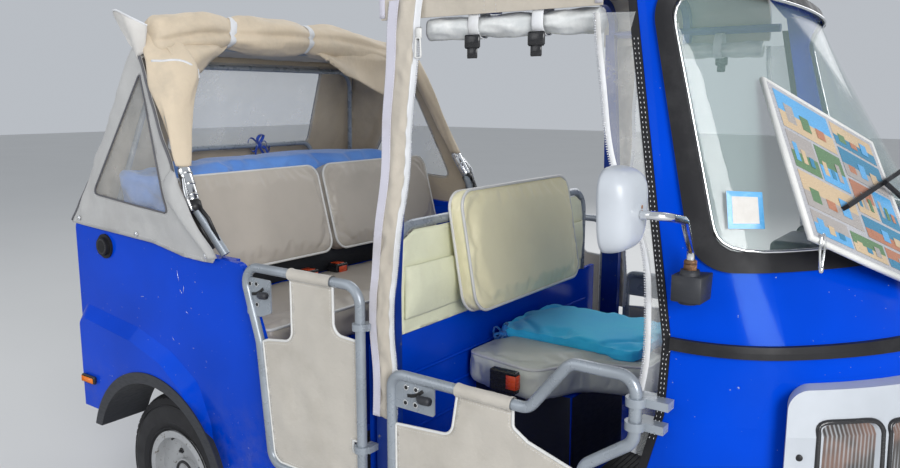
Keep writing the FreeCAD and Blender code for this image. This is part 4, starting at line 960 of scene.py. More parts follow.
# Outline, tied point and flat size of each fold of canvas that hangs below the roll
SWAGS = {
    "swag_right": ([(-0.318, 1.560), (-0.345, 1.540), (-0.406, 1.500), (-0.452, 1.463), (-0.500, 1.452),
                    (-0.560, 1.480), (-0.575, 1.560), (-0.46, 1.600), (-0.36, 1.590)],
                   (-0.318, 1.575), (0.30, 0.17)),
    "swag_left": ([(0.015, 1.555), (0.080, 1.507), (0.139, 1.468), (0.26, 1.432), (0.385, 1.388),
                   (0.400, 1.396), (0.412, 1.450), (0.450, 1.530), (0.44, 1.575), (0.25, 1.590),
                   (0.08, 1.590)],
                  (0.012, 1.575), (0.48, 0.22)),
}
# Height and width of the canvas gathered round each leg of the bow
SLEEVES = {
    "right": [(1.572, 0.095), (1.535, 0.118), (1.494, 0.136), (1.453, 0.134), (1.411, 0.110),
              (1.363, 0.088), (1.303, 0.070), (1.243, 0.052), (1.205, 0.040)],
    "left": [(1.54, 0.09), (1.48, 0.085), (1.40, 0.075), (1.32, 0.062), (1.24, 0.052), (1.175, 0.044)],
}
FLARE_RIM = [(-0.925, -0.615, 1.588), (-0.97, -0.640, 1.612), (-1.035, -0.640, 1.634),
             (-1.078, -0.620, 1.628), (-1.100, -0.585, 1.594), (-1.082, -0.555, 1.560),
             (-1.02, -0.540, 1.545)]
FLARE_TIP = [(-0.965, -0.600, 1.515), (-0.975, -0.612, 1.507), (-0.985, -0.612, 1.500),
             (-0.990, -0.605, 1.497), (-0.992, -0.598, 1.500), (-0.985, -0.59, 1.505),
             (-0.975, -0.585, 1.510)]


def roll_radius(y, angle):
    """The roll bulges between its straps, one layer over another with a groove between them."""
    tied = min(abs(y - strap) for strap in ROLL_STRAPS)
    radius = 0.048 + 0.010 * min(1.0, tied / 0.09) - 0.006 * math.exp(-(tied / 0.02) ** 2)
    turned = angle - 0.1 - 0.5 * y
    groove = math.atan2(math.sin(turned), math.cos(turned))
    lap = 0.011 * math.exp(-(groove / 0.16) ** 2) - 0.004 * math.exp(-((groove + 0.5) / 0.4) ** 2)
    rough = noise.noise(Vector((y * 7, math.cos(angle) * 1.3, math.sin(angle) * 1.3)))
    fine = noise.noise(Vector((y * 26, math.cos(angle) * 3, math.sin(angle) * 3)))
    return radius - lap + 0.009 * rough + 0.0025 * fine


def make_roll():
    line = curve([(ROLL_X, y, z) for y, z in ROLL_LINE], 0.009)

    def reach(i, p, a):
        end = min(i, len(line) - 1 - i) / 4
        shrink = 1.0 if end > 1 else 0.55 + 0.45 * math.sqrt(max(0.0, 1 - (1 - end) ** 2))
        r = roll_radius(p.y, a) * shrink
        return Vector((math.cos(a) * r, 0, math.sin(a) * r * 1.04))

    roll = piece("rolled_hood", tube(line, 56, reach), "canvas_roll")
    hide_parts("hood_roll")
    for number, y in enumerate(ROLL_STRAPS):
        centre = min(line, key=lambda p: abs(p.y - y))
        loop, facing = [], []
        for a in turns(48):
            out = Vector((math.cos(a), 0, math.sin(a)))
            r = roll_radius(y, a) + 0.003
            loop.append(centre + Vector((out.x * r, 0.014 * out.z, out.z * r * 1.04)))
            facing.append(out)
        strap = piece("roll_strap_%d" % number, band(loop, facing, 0.024, 0.0024, True), "tape_white")
        size = sum((b - a).length for a, b in pairs(loop))


def make_swags():
    for name, (outline, tie, flat) in SWAGS.items():
        points, faces = patch(outline, [], 0.010)
        verts = []
        for y, z in points:
            reach = math.hypot(y - tie[0], z - tie[1])
            turn = math.atan2(z - tie[1], y - tie[0])
            deep = 0.016 * math.sin(turn * 9 + 1.2) * min(1, reach / 0.12) + 0.03 * min(1, reach / 0.2)
            deep += 0.012 * fold((0, y, z), (1, 9, 9), 2.0)
            verts.append(Vector((ROLL_X + 0.035 + deep - 0.05 * max(0.0, (z - 1.53) / 0.06), y, z)))
        sheet(name, (verts, faces), "canvas_roll", 0.003)


def even_values(values, count):
    last = len(values) - 1
    result = []
    for k in range(count):
        at = last * k / (count - 1)
        i = min(int(at), last - 1)
        result.append(values[i] + (values[i + 1] - values[i]) * (at - i))
    return result


def make_sleeve(name, sign):
    lean = Vector((0.59, 0.80 * (1 if sign < 0 else -0.25), 0)).normalized()
    sections = []
    for z, width in SLEEVES[name]:
        axis = BOW_KNEE.lerp(BOW_CORNER, (z - BOW_KNEE.z) / (BOW_CORNER.z - BOW_KNEE.z))
        sections.append((Vector((axis.x, sign * axis.y, z)), width))
    centres = curve([p + lean * (w / 2 - 0.018) for p, w in sections], 0.012)
    sizes = even_values([w.x for w in curve([(w, p.z, 0) for p, w in sections], 0.012)], len(centres))
    across = lean.cross(UP).normalized()

    def reach(i, c, a):
        w = sizes[i]
        pleat = 1 + 0.10 * math.sin(3 * a + 16 * c.z) * min(1, w / 0.08)
        pleat += 0.16 * noise.noise(Vector((math.cos(a) * 1.5, math.sin(a) * 1.5, c.z * 11 + sign)))
        return (lean * math.cos(a) * (w / 2) + across * math.sin(a) * max(0.019, 0.30 * w)) * pleat

    obj = piece("sleeve_" + name, tube(centres, 40, reach), "canvas_roll")
    return obj


def make_bow_clamp(name, sign, start):
    """Plated sleeve on the bow's leg, with its hook and the two links to the side rail."""
    def at(t):
        p = BOW_KNEE.lerp(BOW_CORNER, t)
        return Vector((p.x, sign * p.y, p.z))

    along = (at(0.1) - at(0)).normalized()
    top, low = at(start), at(start - 0.20)
    line = [top, top.lerp(low, 0.06), top.lerp(low, 0.94), low]
    chrome = [sweep(line, [0.0165, 0.0185, 0.0185, 0.0165], 24)]
    for t in (0.18, 0.5, 0.82):
        p = top.lerp(low, t)
        chrome.append(sweep([p + along * 0.003, p - along * 0.003], 0.0198, 24))
    out = Vector((0.5, sign * 0.85, 0.1))
    hook = top.lerp(low, 0.75) + out * 0.02
    hook = curve([hook + along * 0.05, hook + out * 0.012, hook - along * 0.05], 0.008)
    chrome.append(sweep(hook, 0.0045, 8))
    piece("bow_clamp_" + name, chrome, "chrome_bright")
    dark = [sweep([low, low - along * 0.028], 0.0205, 20)]
    foot = Vector((-0.664, sign * 0.618, 0.995))
    for lift in (0.012, -0.012):
        side = Vector((lift, 0, lift))
        link = [low - along * 0.02 + side, foot.lerp(low, 0.5) + side * 1.4, foot + side]
        dark.append(band(link, out, 0.012, 0.004))
    piece("bow_link_" + name, dark, "fork_steel")


def make_bow_dress():
    right = make_sleeve("right", -1)
    make_sleeve("left", 1)
    line = curve([(-0.93, -0.60, 1.49), (-0.905, -0.585, 1.487), (-0.885, -0.545, 1.478),
                  (-0.855, -0.50, 1.452), (-0.845, -0.482, 1.438)], 0.008)
    piece("sleeve_binding", sweep(snapped(right, line, 0.001), 0.004, 6), "tape_white")
    make_bow_clamp("right", -1, 0.215)
    make_bow_clamp("left", 1, 0.165)


def make_flare():
    """Loose end of the roll, spread like a funnel towards the rear."""
    rows, columns = 14, 44
    rim = even_open(curve(FLARE_RIM, 0.008), columns)
    tip = even_open(curve(FLARE_TIP, 0.002), columns)
    bulge = Vector((0.2, -1, 0.3)).normalized() * 0.012

    def at(i, k):
        t = i / (rows - 1)
        p = tip[k].lerp(rim[k], t) + bulge * math.sin(math.pi * t) * math.sin(k * 0.25)
        return p + Vector((0, 0.004 * fold(p, (30, 30, 30)), 0))

    sheet("roll_flare", grid(rows, columns, at), "canvas_lining", 0.002)
    piece("roll_flare_edge", sweep(rim, 0.003, 6), "tape_white")


make_roll()
make_swags()
make_bow_dress()
make_flare()


# Canvas strips at the door posts, with webbing and a zip
ZIP_PITCH = 0.0046
STRIP_LOW = 0.655
STRIP_HIGH = 1.600


def make_strip(name, sign):
    def at(u, z, lift=0.0):
        """Place on the strip: u runs from its rear to its front edge."""
        t = (z - 0.66) / 0.94
        bend = max(0.0, (t - 0.3) / 0.7)
        rear, front = -0.0895 + 0.024 * bend, -0.018 + 0.044 * bend
        y = 0.631 - 0.054 * max(0.0, (t - 0.31) / 0.69)
        wave = 0.004 * math.sin(z * 11 + 0.6) + 0.0022 * math.sin(z * 27)
        bulge = math.sin(math.pi * min(1, max(0, (u - 0.3) / 0.5)))
        puff = 0.005 * bulge * (1 + noise.noise((0, u * 3, z * 12)))
        crease = 0.0022 * (1 - abs(noise.noise(Vector((u * 2.5, z * 22, sign)))) * 4)
        y += 0.0015 + puff + crease * (0.3 < u < 0.85) + lift
        return Vector((rear + (front - rear) * u + wave, sign * y, z))

    rows, columns = 150, 18
    heights = [STRIP_LOW + (STRIP_HIGH - STRIP_LOW) * i / (rows - 1) for i in range(rows)]
    for label, u0, u1, lift, finish, thick, width, instead in (
            ("post_canvas_", 0.02, 0.86, 0.0, "canvas_beige", 0.0024, 0.075, "pillar_flaps"),
            ("post_webbing_", 0.0, 0.30, 0.0028, "webbing", 0.0016, 0.03, None),
            ("zip_tape_", 0.82, 1.0, 0.001, "tape_white", 0.0012, 0.02, None)):
        net = grid(rows, columns, lambda i, k: at(u0 + (u1 - u0) * k / (columns - 1), heights[i], lift))
        sheet(label + name, net, finish, thick, instead)
    count = math.ceil((STRIP_HIGH - STRIP_LOW - 0.07) / ZIP_PITCH)
    places = [at(1.0, STRIP_LOW + 0.01 + ZIP_PITCH * k, 0.0012) for k in range(count)]
    teeth = [around(p + Vector((0.0003, 0, 0)), (0.0025, 0.0016, 0.0014), 0.0006) for p in places]
    piece("zip_teeth_" + name, teeth, "zip_metal")
    seams = [stitches([at(u, z, lift) for z in heights[::2]])
             for u, lift in ((0.02, 0.0042), (0.285, 0.0042), (0.83, 0.0018))]
    piece("post_stitches_" + name, seams, "tape_white")
    p = at(1.0, STRIP_HIGH - 0.075, 0.004)
    hang = p + Vector((0.002, sign * 0.004, -0.008))
    loop = rounded([(-0.008, -0.042), (0.008, -0.042), (0.006, 0.0), (-0.006, 0.0)], 0.005)
    pull = [around(p + Vector((0.001, 0, 0.001)), (0.008, 0.004, 0.013), 0.003),
            sweep([hang + Vector((x, 0, z)) for x, z in loop], 0.0022, 6, True)]
    piece("zip_puller_" + name, pull, "piping_white")


# Door canvas: the outline of each, its holes, and the bound edge
def door_outline(node):
    """Outer and inner outlines of a flat door canvas, taken from its own solid."""
    b = welded(NODES[node].data)
    side = max(b.faces, key=lambda f: abs(f.normal.y)).calc_center_median().y
    flat = [f for f in b.faces if abs(f.normal.y) > 0.99]
    outer = max(abs(f.calc_center_median().y) for f in flat)
    flat = {f for f in flat if abs(abs(f.calc_center_median().y) - outer) < 1e-4}
    edges = {e for f in flat for e in f.edges if sum(g in flat for g in e.link_faces) == 1}
    loops = []
    while edges:
        loops.append([(p.x, p.z) for p in walk(edges, min(edges, key=lambda e: e.index))])
    b.free()
    loops.sort(key=lambda loop: -abs(sum(a[0] * c[1] - c[0] * a[1] for a, c in pairs(loop))))
    return loops, math.copysign(outer, side)


def make_door_canvas(node, body):
    loops, y = door_outline(node)
    out = Vector((0, math.copysign(1.0, y), 0))
    points, faces = patch(loops[0], loops[1:], 0.012)

    def at(x, z, lift=0.0):
        slack = min(1.0, min(line_distance((x, z), loop) for loop in loops) / 0.05)
        wave = 0.007 * fold((x, 0, z), (6, 1, 6), 7.0) + 0.003 * fold((x, 0, z), (17, 1, 17), 3.0)
        return Vector((x, y, z)) + out * (wave * slack - 0.0018 + lift)

    slot = "canvas_grey" if "front" in node else "canvas_beige"
    shape = [at(*p) for p in points], faces
    obj = sheet(node + "_cloth", shape, slot, 0.003, node, body)
    obj.data.materials[0] = MATERIALS["canvas_door"]
    edges, seams = [], []
    for loop in loops:
        line = [Vector((x, y, z)) - out * 0.0018 for x, z in dense(loop, 0.01)]
        edges.append(sweep(line, 0.0036, 7, True))
        inner = dense(offset(loop, -0.009 if loop is loops[0] else 0.009), 0.01)
        seams.append(stitches([at(x, z, 0.0016) for x, z in inner]))
    piece(node + "_binding", edges, "piping_white", body)
    piece(node + "_stitches", seams, "tape_white", body)


for side_name, side_sign in SIDES:
    make_strip(side_name, side_sign)
    make_door_canvas("rear_door_canvas_" + side_name, "rear_door_" + side_name)
    make_door_canvas("front_door_canvas_" + side_name, "front_door_" + side_name)


# Side curtains rolled up under the roof, with straps and buckles
CURTAIN_STRAPS = (0.145, 0.297)
CURTAIN_Y = 0.545
CURTAIN_Z = 1.536


def curtain_reach(_, p, a):
    tied = min(abs(p.x - x) for x in CURTAIN_STRAPS)
    r = 0.019 + 0.005 * min(1.0, tied / 0.05)
    r += 0.0035 * noise.noise(Vector((p.x * 22, math.cos(a) * 2, math.sin(a) * 2)))
    r -= 0.004 * math.exp(-(math.atan2(math.sin(a - 0.6), math.cos(a - 0.6)) / 0.14) ** 2)
    return Vector((0, math.cos(a) * r * 0.95, math.sin(a) * r))


def make_curtain(name, sign):
    line = [Vector((0.020 + 0.0045 * i, sign * (CURTAIN_Y + 0.002 * math.sin(i * 0.3)), CURTAIN_Z))
            for i in range(91)]
    roll = piece("curtain_roll_" + name, tube(line, 36, curtain_reach), "film_rolled")
    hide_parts("clear_curtains")
    for number, x in enumerate(CURTAIN_STRAPS):
        label = "%s_%d" % (name, number)
        loop = []
        for a in turns(40):
            high = 0.024 if math.sin(a) < 0 else 0.050
            y = sign * (CURTAIN_Y + math.cos(a) * 0.0245)
            loop.append(Vector((x, y, CURTAIN_Z + math.sin(a) * high)))
        facing = [Vector((0, sign * math.cos(a), math.sin(a))) for a in turns(40)]
        strap = piece("curtain_strap_" + label, band(loop, facing, 0.026, 0.002, True), "tape_white")
        low = Vector((x, sign * 0.5715, 1.505))
        buckle = [around(low, (0.019, 0.004, 0.014), 0.003),
                  around(low - UP * 0.023, (0.013, 0.003, 0.011), 0.003)]
        piece("curtain_buckle_" + label, buckle, "buckle_black")


def seal_edges(sign):
    """Rear and front edge of a door seal on the body, from low to high."""
    seals = surface(NODES["front_seals"])
    rear, front = [], []
    for i in range(76):
        run = []
        for k in range(70):
            start = Vector((0.42 + 0.003 * k, sign * 2.0, 0.76 + 0.010 * i))
            hit, normal = seals.ray_cast(start, Vector((0, -sign, 0)))[:2]
            if hit is not None and abs(hit.y) > 0.4:
                run.append(hit + normal * 0.0006)
            elif run:
                break
        if len(run) > 3:
            rear.append(run[1])
            front.append(run[-2])
    return rear, front


# Clear strip that hangs at the windscreen post, with its zip
ZIP_LINE = [(0.432, 0, 1.545), (0.438, 0, 1.480), (0.450, 0, 1.410), (0.468, 0, 1.320), (0.490, 0, 1.250),
            (0.522, 0, 1.180), (0.552, 0, 1.100), (0.567, 0, 0.935), (0.556, 0, 0.836), (0.544, 0, 0.720)]


def make_clear_strip(name, sign):
    line = even_open(curve(ZIP_LINE, 0.006), 130)
    seals = seal_edges(sign)[0]
    seals = [min(seals, key=lambda q: abs(q.z - p.z)) for p in line]
    columns = 12

    def at(i, k):
        """From the seal's edge to the zip."""
        t, p, seal = k / (columns - 1), line[i], seals[i]
        y = 0.603 - 0.02 * max(0.0, (p.z - 1.0) / 0.56) + 0.006 * math.sin(i * 0.11 + t * 3) * t
        y += (min(abs(seal.y) - 0.004, y) - y) * (1 - t)
        return Vector((p.x + (seal.x + 0.002 - p.x) * (1 - t), sign * y, p.z))

    net = grid(len(line), columns, at)
    sheet("clear_strip_" + name, net, "clear_film")
    edge = net[0][columns - 1::columns]
    piece("clear_strip_tape_" + name, band(edge, (0, sign, 0), 0.011, 0.0024), "tape_white")
    teeth, gone = [], 0.0
    for a, b in pairs(edge, False):
        span = (b - a).length
        while gone < span:
            p = a.lerp(b, gone / span) + Vector((-0.0062, 0, 0))
            teeth.append(around(p, (0.0026, 0.0018, 0.0013), 0.0006))
            gone += ZIP_PITCH
        gone -= span
    piece("clear_strip_teeth_" + name, teeth, "zip_metal")


for side_name, side_sign in SIDES:
    make_curtain(side_name, side_sign)
    make_clear_strip(side_name, side_sign)


# Roof canvas: bound edges and seams over the bows
def make_roof_trim():
    tree = surface(NODES["roof_canvas"])
    edges, seams = [], []
    for x in (-0.096, -0.062, 0.190, 0.430):
        line = []
        for a in (math.pi * k / 120 for k in range(121)):
            out = Vector((0, math.cos(a), math.sin(a) * 0.6)).normalized()
            hit = tree.ray_cast(Vector((x, 0, 1.50)) + out * 2, -out)[0]
            if hit is not None:
                line.append(hit + out * 0.0012)
        line = even_open(line, 150)
        if x in (-0.096, 0.430):
            edges.append(band(line, [Vector((0, p.y, p.z - 1.4)) for p in line], 0.016, 0.002))
        else:
            for shift in (Vector((-0.014, 0, 0)), Vector((0.014, 0, 0))):
                seams.append(stitches([p + shift for p in line], 0.005, 0.004))
    piece("roof_binding", edges, "webbing")
    piece("roof_seams", seams, "tape_white")


# Bulkhead: pressed lines, its canvas cover with a pocket, and the bare rail over it
def make_bulkhead_trim():
    ridges = []
    for z in (0.470, 0.545, 0.620, 0.695):
        line = [Vector((-0.1215, y * 0.01, z)) for y in range(-54, 55, 2)]
        radius = [0.0045 * min(1.0, (54.5 - abs(p.y * 100)) / 4) + 0.0002 for p in line]
        ridges.append(sweep(line, radius, 10))
    piece("bulkhead_ridges", ridges, "body_blue")
    half = [(0.500, 0.806)] + [(0.430 + 0.070 * math.cos(a), 1.010 + 0.070 * math.sin(a))
                               for a in turns(40)[:11]]
    line = [Vector((-0.129, y, z)) for y, z in half + [(-y, z) for y, z in reversed(half)]]
    piece("grab_rail_sleeve", sweep(line, 0.0127, 14), "tube_silver")
    points, faces = patch([(-0.486, 0.808), (0.486, 0.808), (0.486, 1.0), (0.472, 1.045), (0.43, 1.066),
                           (-0.43, 1.066), (-0.472, 1.045), (-0.486, 1.0)], [], 0.016)
    verts = []
    for y, z in points:
        slack = 0.006 * fold((0, y, z), (1, 5, 6), 2.0) + 0.003 * fold((0, y, z), (1, 15, 15), 9.0)
        verts.append(Vector((-0.1225 + slack, y, z)))
    sheet("bulkhead_cloth", (verts, faces), "canvas_cover", 0.003,
          "bulkhead_cover")
    rows, columns = 24, 60

    def at(i, k):
        y, t = -0.478 + 0.956 * k / (columns - 1), i / (rows - 1)
        puff = 0.010 * math.sin(math.pi * t) + 0.006 * fold((0, y, t), (1, 8, 2), 4.0) + 0.008 * t
        return Vector((-0.116 + puff * min(1.0, (0.478 - abs(y)) / 0.03), y, 0.845 + 0.135 * t))

    net = grid(rows, columns, at)
    sheet("bulkhead_pocket", net, "canvas_cover", 0.0026)
    seams = [stitches([v + Vector((0.002, 0, -0.012)) for v in net[0][-columns:]])]
    seams += [sweep([(-0.1145, y, 0.848), (-0.1145, y, 0.978)], 0.0015, 5) for y in (-0.16, 0.16)]
    piece("pocket_stitches", seams, "piping_white")


# Buckles and ribbons
def make_buttons():
    red = [block((-0.8015, y - 0.019, 0.790), (-0.7985, y + 0.019, 0.812), 0.001) for y in (-0.125, 0.015)]
    red += [block((-0.846, y - 0.016, 0.8198), (-0.808, y + 0.016, 0.8222), 0.001) for y in (-0.125, 0.015)]
    red.append(block((0.070, -0.3022, 0.652), (0.0995, -0.2998, 0.690), 0.001))
    red.append(block((0.0975, -0.297, 0.652), (0.1, -0.279, 0.690), 0.001))
    piece("buckle_buttons", red, "buckle_red")


def make_ribbon(name, centre, finish, size):
    """Bow of seven loops with two tails and a knot."""
    centre = Vector(centre)
    shapes = []
    for k in range(7):
        a = 0.9 * k
        reach = (0.030 + 0.018 * math.sin(k * 2.3)) * size
        out = Vector((math.cos(a) * 0.5, math.cos(a + 0.7), math.sin(a) * 0.8)).normalized()
        side = out.cross(Vector((1, 0.3, 0.2))).normalized()
        loop = [centre + (out * math.sin(a) + side * 0.5 * math.sin(2 * a)) * reach
                for a in (math.pi * i / 12 for i in range(13))]
        shapes.append(band(loop, [side + out * 0.3] * len(loop), 0.012 * size, 0.0012))
    for drop, side in ((0.09, -1), (0.07, 1)):
        steps = ((0, 0, 0), (0.012, 0.02 * side, -0.01), (0.016, 0.032 * side, -drop * 0.6 * size),
                 (0.012, 0.028 * side, -drop * size))
        tail = curve([centre + Vector(step) for step in steps], 0.006)
        shapes.append(band(tail, (1, 0.2, 0), 0.012 * size, 0.0012))
    knot = [centre + Vector((0, y, 0)) for y in (-0.011, 0, 0.011)]
    shapes.append(sweep(knot, [0.009 * size, 0.014 * size, 0.009 * size], 10))
    piece(name, shapes, finish)


make_roof_trim()
make_bulkhead_trim()
make_buttons()
make_ribbon("rail_ribbon", (-1.235, 0.030, 1.216), "ribbon", 1.0)
make_ribbon("pad_ribbon", (-0.078, -0.085, 0.722), "ribbon_sky", 0.8)


# Display board: plain printed fields, bare edge and two spring hooks
BOARD_CORNER = Vector((0.6934, -0.4228, 1.4264))
BOARD_ACROSS = Vector((0.1418, 0.3022, -0.1253))
BOARD_DOWN = Vector((0.1376, -0.1688, -0.2566))
BOARD_FINISHES = ("card_sky", "card_sand", "card_sea", "card_stone", "card_green", "card_clay")
# Left, top, right and bottom of each printed field, as shares of the board
BOARD_FIELDS = (
    (0.05, 0.04, 0.52, 0.30), (0.55, 0.04, 0.95, 0.20), (0.55, 0.22, 0.95, 0.42), (0.05, 0.32, 0.27, 0.56),
    (0.29, 0.32, 0.52, 0.56), (0.55, 0.44, 0.74, 0.66), (0.76, 0.44, 0.95, 0.66), (0.05, 0.58, 0.52, 0.80),
    (0.55, 0.68, 0.95, 0.82), (0.05, 0.82, 0.35, 0.96), (0.37, 0.84, 0.66, 0.96), (0.68, 0.84, 0.95, 0.96))


def on_board(u, v):
    return BOARD_CORNER + BOARD_ACROSS * u + BOARD_DOWN * v


def outward(a, b):
    """Upright on two directions, towards the front."""
    normal = a.cross(b).normalized()
    return -normal if normal.x < 0 else normal


def field_layers(number, x0, y0, x1, y1):
    """Rectangles of one printed field, one over another, each with its place in the row of finishes."""
    wide, high = x1 - x0, y1 - y0
    layers = [(x0, y0, x1, y1, number), (x0, y0 + high * 0.55, x1, y1, number + 1 + number // 4)]
    for k in range(3):
        left = x0 + wide * (0.12 + 0.27 * k)
        top = y0 + high * (0.30 + 0.12 * ((number + k) % 3))
        layers.append((left, top, left + wide * 0.16, y1 - high * 0.2, number + 3 + k))
    return layers


def make_board():
    out = outward(BOARD_DOWN, BOARD_ACROSS)
    fields = {}
    for number, field in enumerate(BOARD_FIELDS):
        for depth, (a, b, c, d, turn) in enumerate(field_layers(number, *field)):
            lift = out * (0.0003 + 0.0002 * depth)
            quad = [on_board(u, v) + lift for u, v in ((a, b), (c, b), (c, d), (a, d))]
            finish = BOARD_FINISHES[turn % len(BOARD_FINISHES)]
            fields.setdefault(finish, []).append(prism(quad, [q + out * 0.0002 for q in quad]))
    for finish, shapes in fields.items():
        piece("board_" + finish, shapes, finish, smooth=False)
    rim = [on_board(u, v) - out * 0.004 for u, v in ((0, 0), (1, 0), (1, 1), (0, 1))]
    rim = [p for a, b in pairs(rim) for p in (a, a.lerp(b, 0.5))]
    piece("board_edge", sweep(rim, 0.0062, 8, True), "piping_white")
    hooks = []
    drop = Vector((0.004, -0.004, -1)).normalized()
    side = out.cross(drop).normalized() * 0.0085
    for u in (0.06, 0.94):
        at = on_board(u, 0.99) + out * 0.006
        loop = [at + drop * (0.026 - 0.030 * math.cos(a)) + side * math.sin(a) * (1 + 0.3 * math.cos(a))
                for a in turns(28)]
        hooks.append(sweep(loop, 0.0021, 8, True))
        hooks.append(sweep([at + drop * 0.050, at + drop * 0.060], 0.0045, 10))
    piece("board_hooks", hooks, "chrome_bright")


def make_sticker():
    corners = [Vector(p) for p in ((0.676, -0.558, 1.230), (0.725, -0.513, 1.227), (0.737, -0.525, 1.164),
                                   (0.686, -0.567, 1.165))]
    face = outward(corners[1] - corners[0], corners[3] - corners[0])
    middle = sum(corners, Vector()) / 4
    for name, size, lift, finish in (("sticker_edge", 1.0, 0.004, "card_sky"),
                                     ("sticker_field", 0.72, 0.0046, "canvas_lining")):
        quad = [middle + (p - middle) * size + face * lift for p in corners]
        piece(name, prism([p - face * 0.0005 for p in quad], quad), finish, smooth=False)


make_board()
make_sticker()


# Door latches: holes, slot and hook on the plates
def make_latch(name, sign, body, holes, hook):
    face = Vector((0, sign, 0))
    rings = [disc((x, sign * 0.6505, z), face, 0.0072, 0.0008, 18, 0.1) for x, z in holes]
    piece(name + "_rings", rings, "chrome_bright", body)
    # Black discs inside the rings and the black slot: painted shade in the holes and the slot.
    dark = [disc((x, sign * 0.6512, z), face, 0.0045, 0.0006, 18, 0.1) for x, z in holes]
    x, z = hook
    slot = [Vector((x - 0.022 + 0.011 * k, sign * 0.6512, z + 0.0012 * k * k)) for k in range(5)]
    dark.append(band(slot, face, 0.008, 0.001))
    piece(name + "_holes", dark, "hole_black", body)
    grip = curve([(x + 0.012, sign * 0.655, z + 0.004), (x + 0.030, sign * 0.668, z + 0.006),
                  (x + 0.056, sign * 0.674, z + 0.010)], 0.004)
    radius = [0.0055 + 0.004 * min(1.0, k / 6) for k in range(len(grip))]
    piece(name + "_hook", sweep(grip, radius, 12), "trim_black", body)


# Mirrors: domed shell, glass, clamp and bracket
def make_mirror(name, sign):
    middle = Vector((0.575, sign * 0.8025, 1.217))
    sides = 48
    outline = []
    for a in turns(sides):
        c, d = math.cos(a), math.sin(a)
        size = (abs(c) ** 3.6 + abs(d) ** 3.6) ** (-1 / 3.6)
        outline.append((c * size * 0.0572 * (1 + 0.10 * d * size), d * size * 0.0688))

    def rings(*sections):
        """Form through the outline at each depth and scale."""
        verts = [middle + Vector((depth, y * scale, z * scale))
                 for depth, scale in sections for y, z in outline]
        return verts, ring_faces(len(sections), sides)

    dome = [(0.0465 * math.sin(a), max(0.02, math.cos(a)) ** 0.42)
            for a in (k / 13 * math.pi / 2 for k in range(14))]
    shell = piece("mirror_shell_" + name, rings((0.0, 0.93), *dome), "white_plastic")
    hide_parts("mirrors")
    piece("mirror_glass_" + name, rings((-0.0006, 0.90), (0.0014, 0.90)), "mirror_glass")
    screws = [disc(middle + Vector((0.0455, sign * -0.008, z)), (1, 0, 0), 0.0035, 0.0016, 12, 0.4)
              for z in (-0.008, 0.006)]
    piece("mirror_screws_" + name, screws, "nut_rust")
    foot = Vector((0.646, sign * 0.630, 1.038))
    bracket = [around(Vector((0.646, sign * 0.60375, 1.065)), (0.0265, 0.04375, 0.0235), 0.0015),
               disc(foot, UP, 0.0175, 0.060, 24, 0.15)]
    piece("mirror_bracket_" + name, bracket, "trim_black")
    nuts = [disc(foot + UP * 0.060, UP, 0.0125, 0.010, 6, 0.12),
            disc(foot + UP * 0.071, UP, 0.0112, 0.006, 20, 0.3)]
    piece("mirror_nut_" + name, nuts, "nut_rust")


for side_name, side_sign in SIDES:
    make_latch("rear_latch_" + side_name, side_sign, "rear_door_" + side_name,
               ((-0.490, 0.862), (-0.466, 0.866), (-0.490, 0.918), (-0.466, 0.920)), (-0.462, 0.892))
    make_latch("front_latch_" + side_name, side_sign, "front_door_" + side_name,
               ((0.024, 0.716), (0.052, 0.716), (0.026, 0.752), (0.054, 0.752)), (0.052, 0.734))
for side_name, side_sign in SIDES:
    make_mirror(side_name, side_sign)


# Bright bead in the windscreen gasket
BEAD_POINTS = 260
BEAD_REACH = 1.6


def make_screen_bead():
    glass_tree, seal_tree = surface(NODES["windscreen"]), surface(NODES["front_seals"])

    def seal_at(far, a):
        """The gasket where it is met before the glass, seen from far ahead at one angle and height."""
        angle, z = far * math.cos(a), 1.36 + far * 0.45 * math.sin(a)
        out = Vector((math.cos(angle), math.sin(angle), 0))
        start = Vector((0.35, 0, z)) + out * 1.5
        seal, clear = seal_tree.ray_cast(start, -out), glass_tree.ray_cast(start, -out)
        return seal if seal[0] is not None and (clear[0] is None or seal[3] < clear[3]) else None

    bead = []
    for a in turns(BEAD_POINTS):
        near, far = 0.0, 0.0
        while far < BEAD_REACH and seal_at(far, a) is None:
            near, far = far, far + 0.02
        if far >= BEAD_REACH:
            continue
        for _ in range(8):
            half = (near + far) / 2
            if seal_at(half, a) is None:
                near = half
            else:
                far = half
        place, normal = seal_at(far, a)[:2]
        bead.append(place + normal * 0.001)
    for _ in range(2):
        bead = [(a + p * 2 + b) / 4 for a, p, b in neighbours(bead, True)]
    piece("screen_bead", sweep(bead, 0.0032, 8, True), "chrome_bright")


# Black sheet round the driver's seat box as painted shade under the seat; dark strip as painted shade in the
# gap under the rear backrests
def make_painted_seat_shade():
    corners = rounded([(-0.1205, -0.1675), (0.1925, -0.1675), (0.1925, 0.1675), (-0.1205, 0.1675)], 0.02)
    loop = [Vector(p) for p in dense(corners, 0.02)]
    low, high = (corner.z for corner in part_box("driver_seat_box"))
    verts = []
    for t in (i / 8 for i in range(9)):
        for k, p in enumerate(loop):
            ripple = 0.0012 + 0.0018 * abs(math.sin(k * 0.9)) * (1 - t)
            p = p + (p - Vector((0.036, 0))).normalized() * ripple
            verts.append(Vector((p.x, p.y, low + (high - low) * t)))
    faces = ring_faces(9, len(loop), False, False)
    # Black sheet round the seat box: painted shade under the driver's seat.
    sheet("seat_box_painted_shade", (verts, faces), "trim_black")
    # Dark strip behind the bench: painted shade in the gap under the rear backrests.
    piece("bench_gap_painted_shade", block((-0.9065, -0.585, 0.779), (-0.9035, 0.585, 0.880), 0.001), "trim_black")


make_screen_bead()
make_painted_seat_shade()


# Wheels: tread blocks, bolts, caps and valves
LUG_COUNT = 64
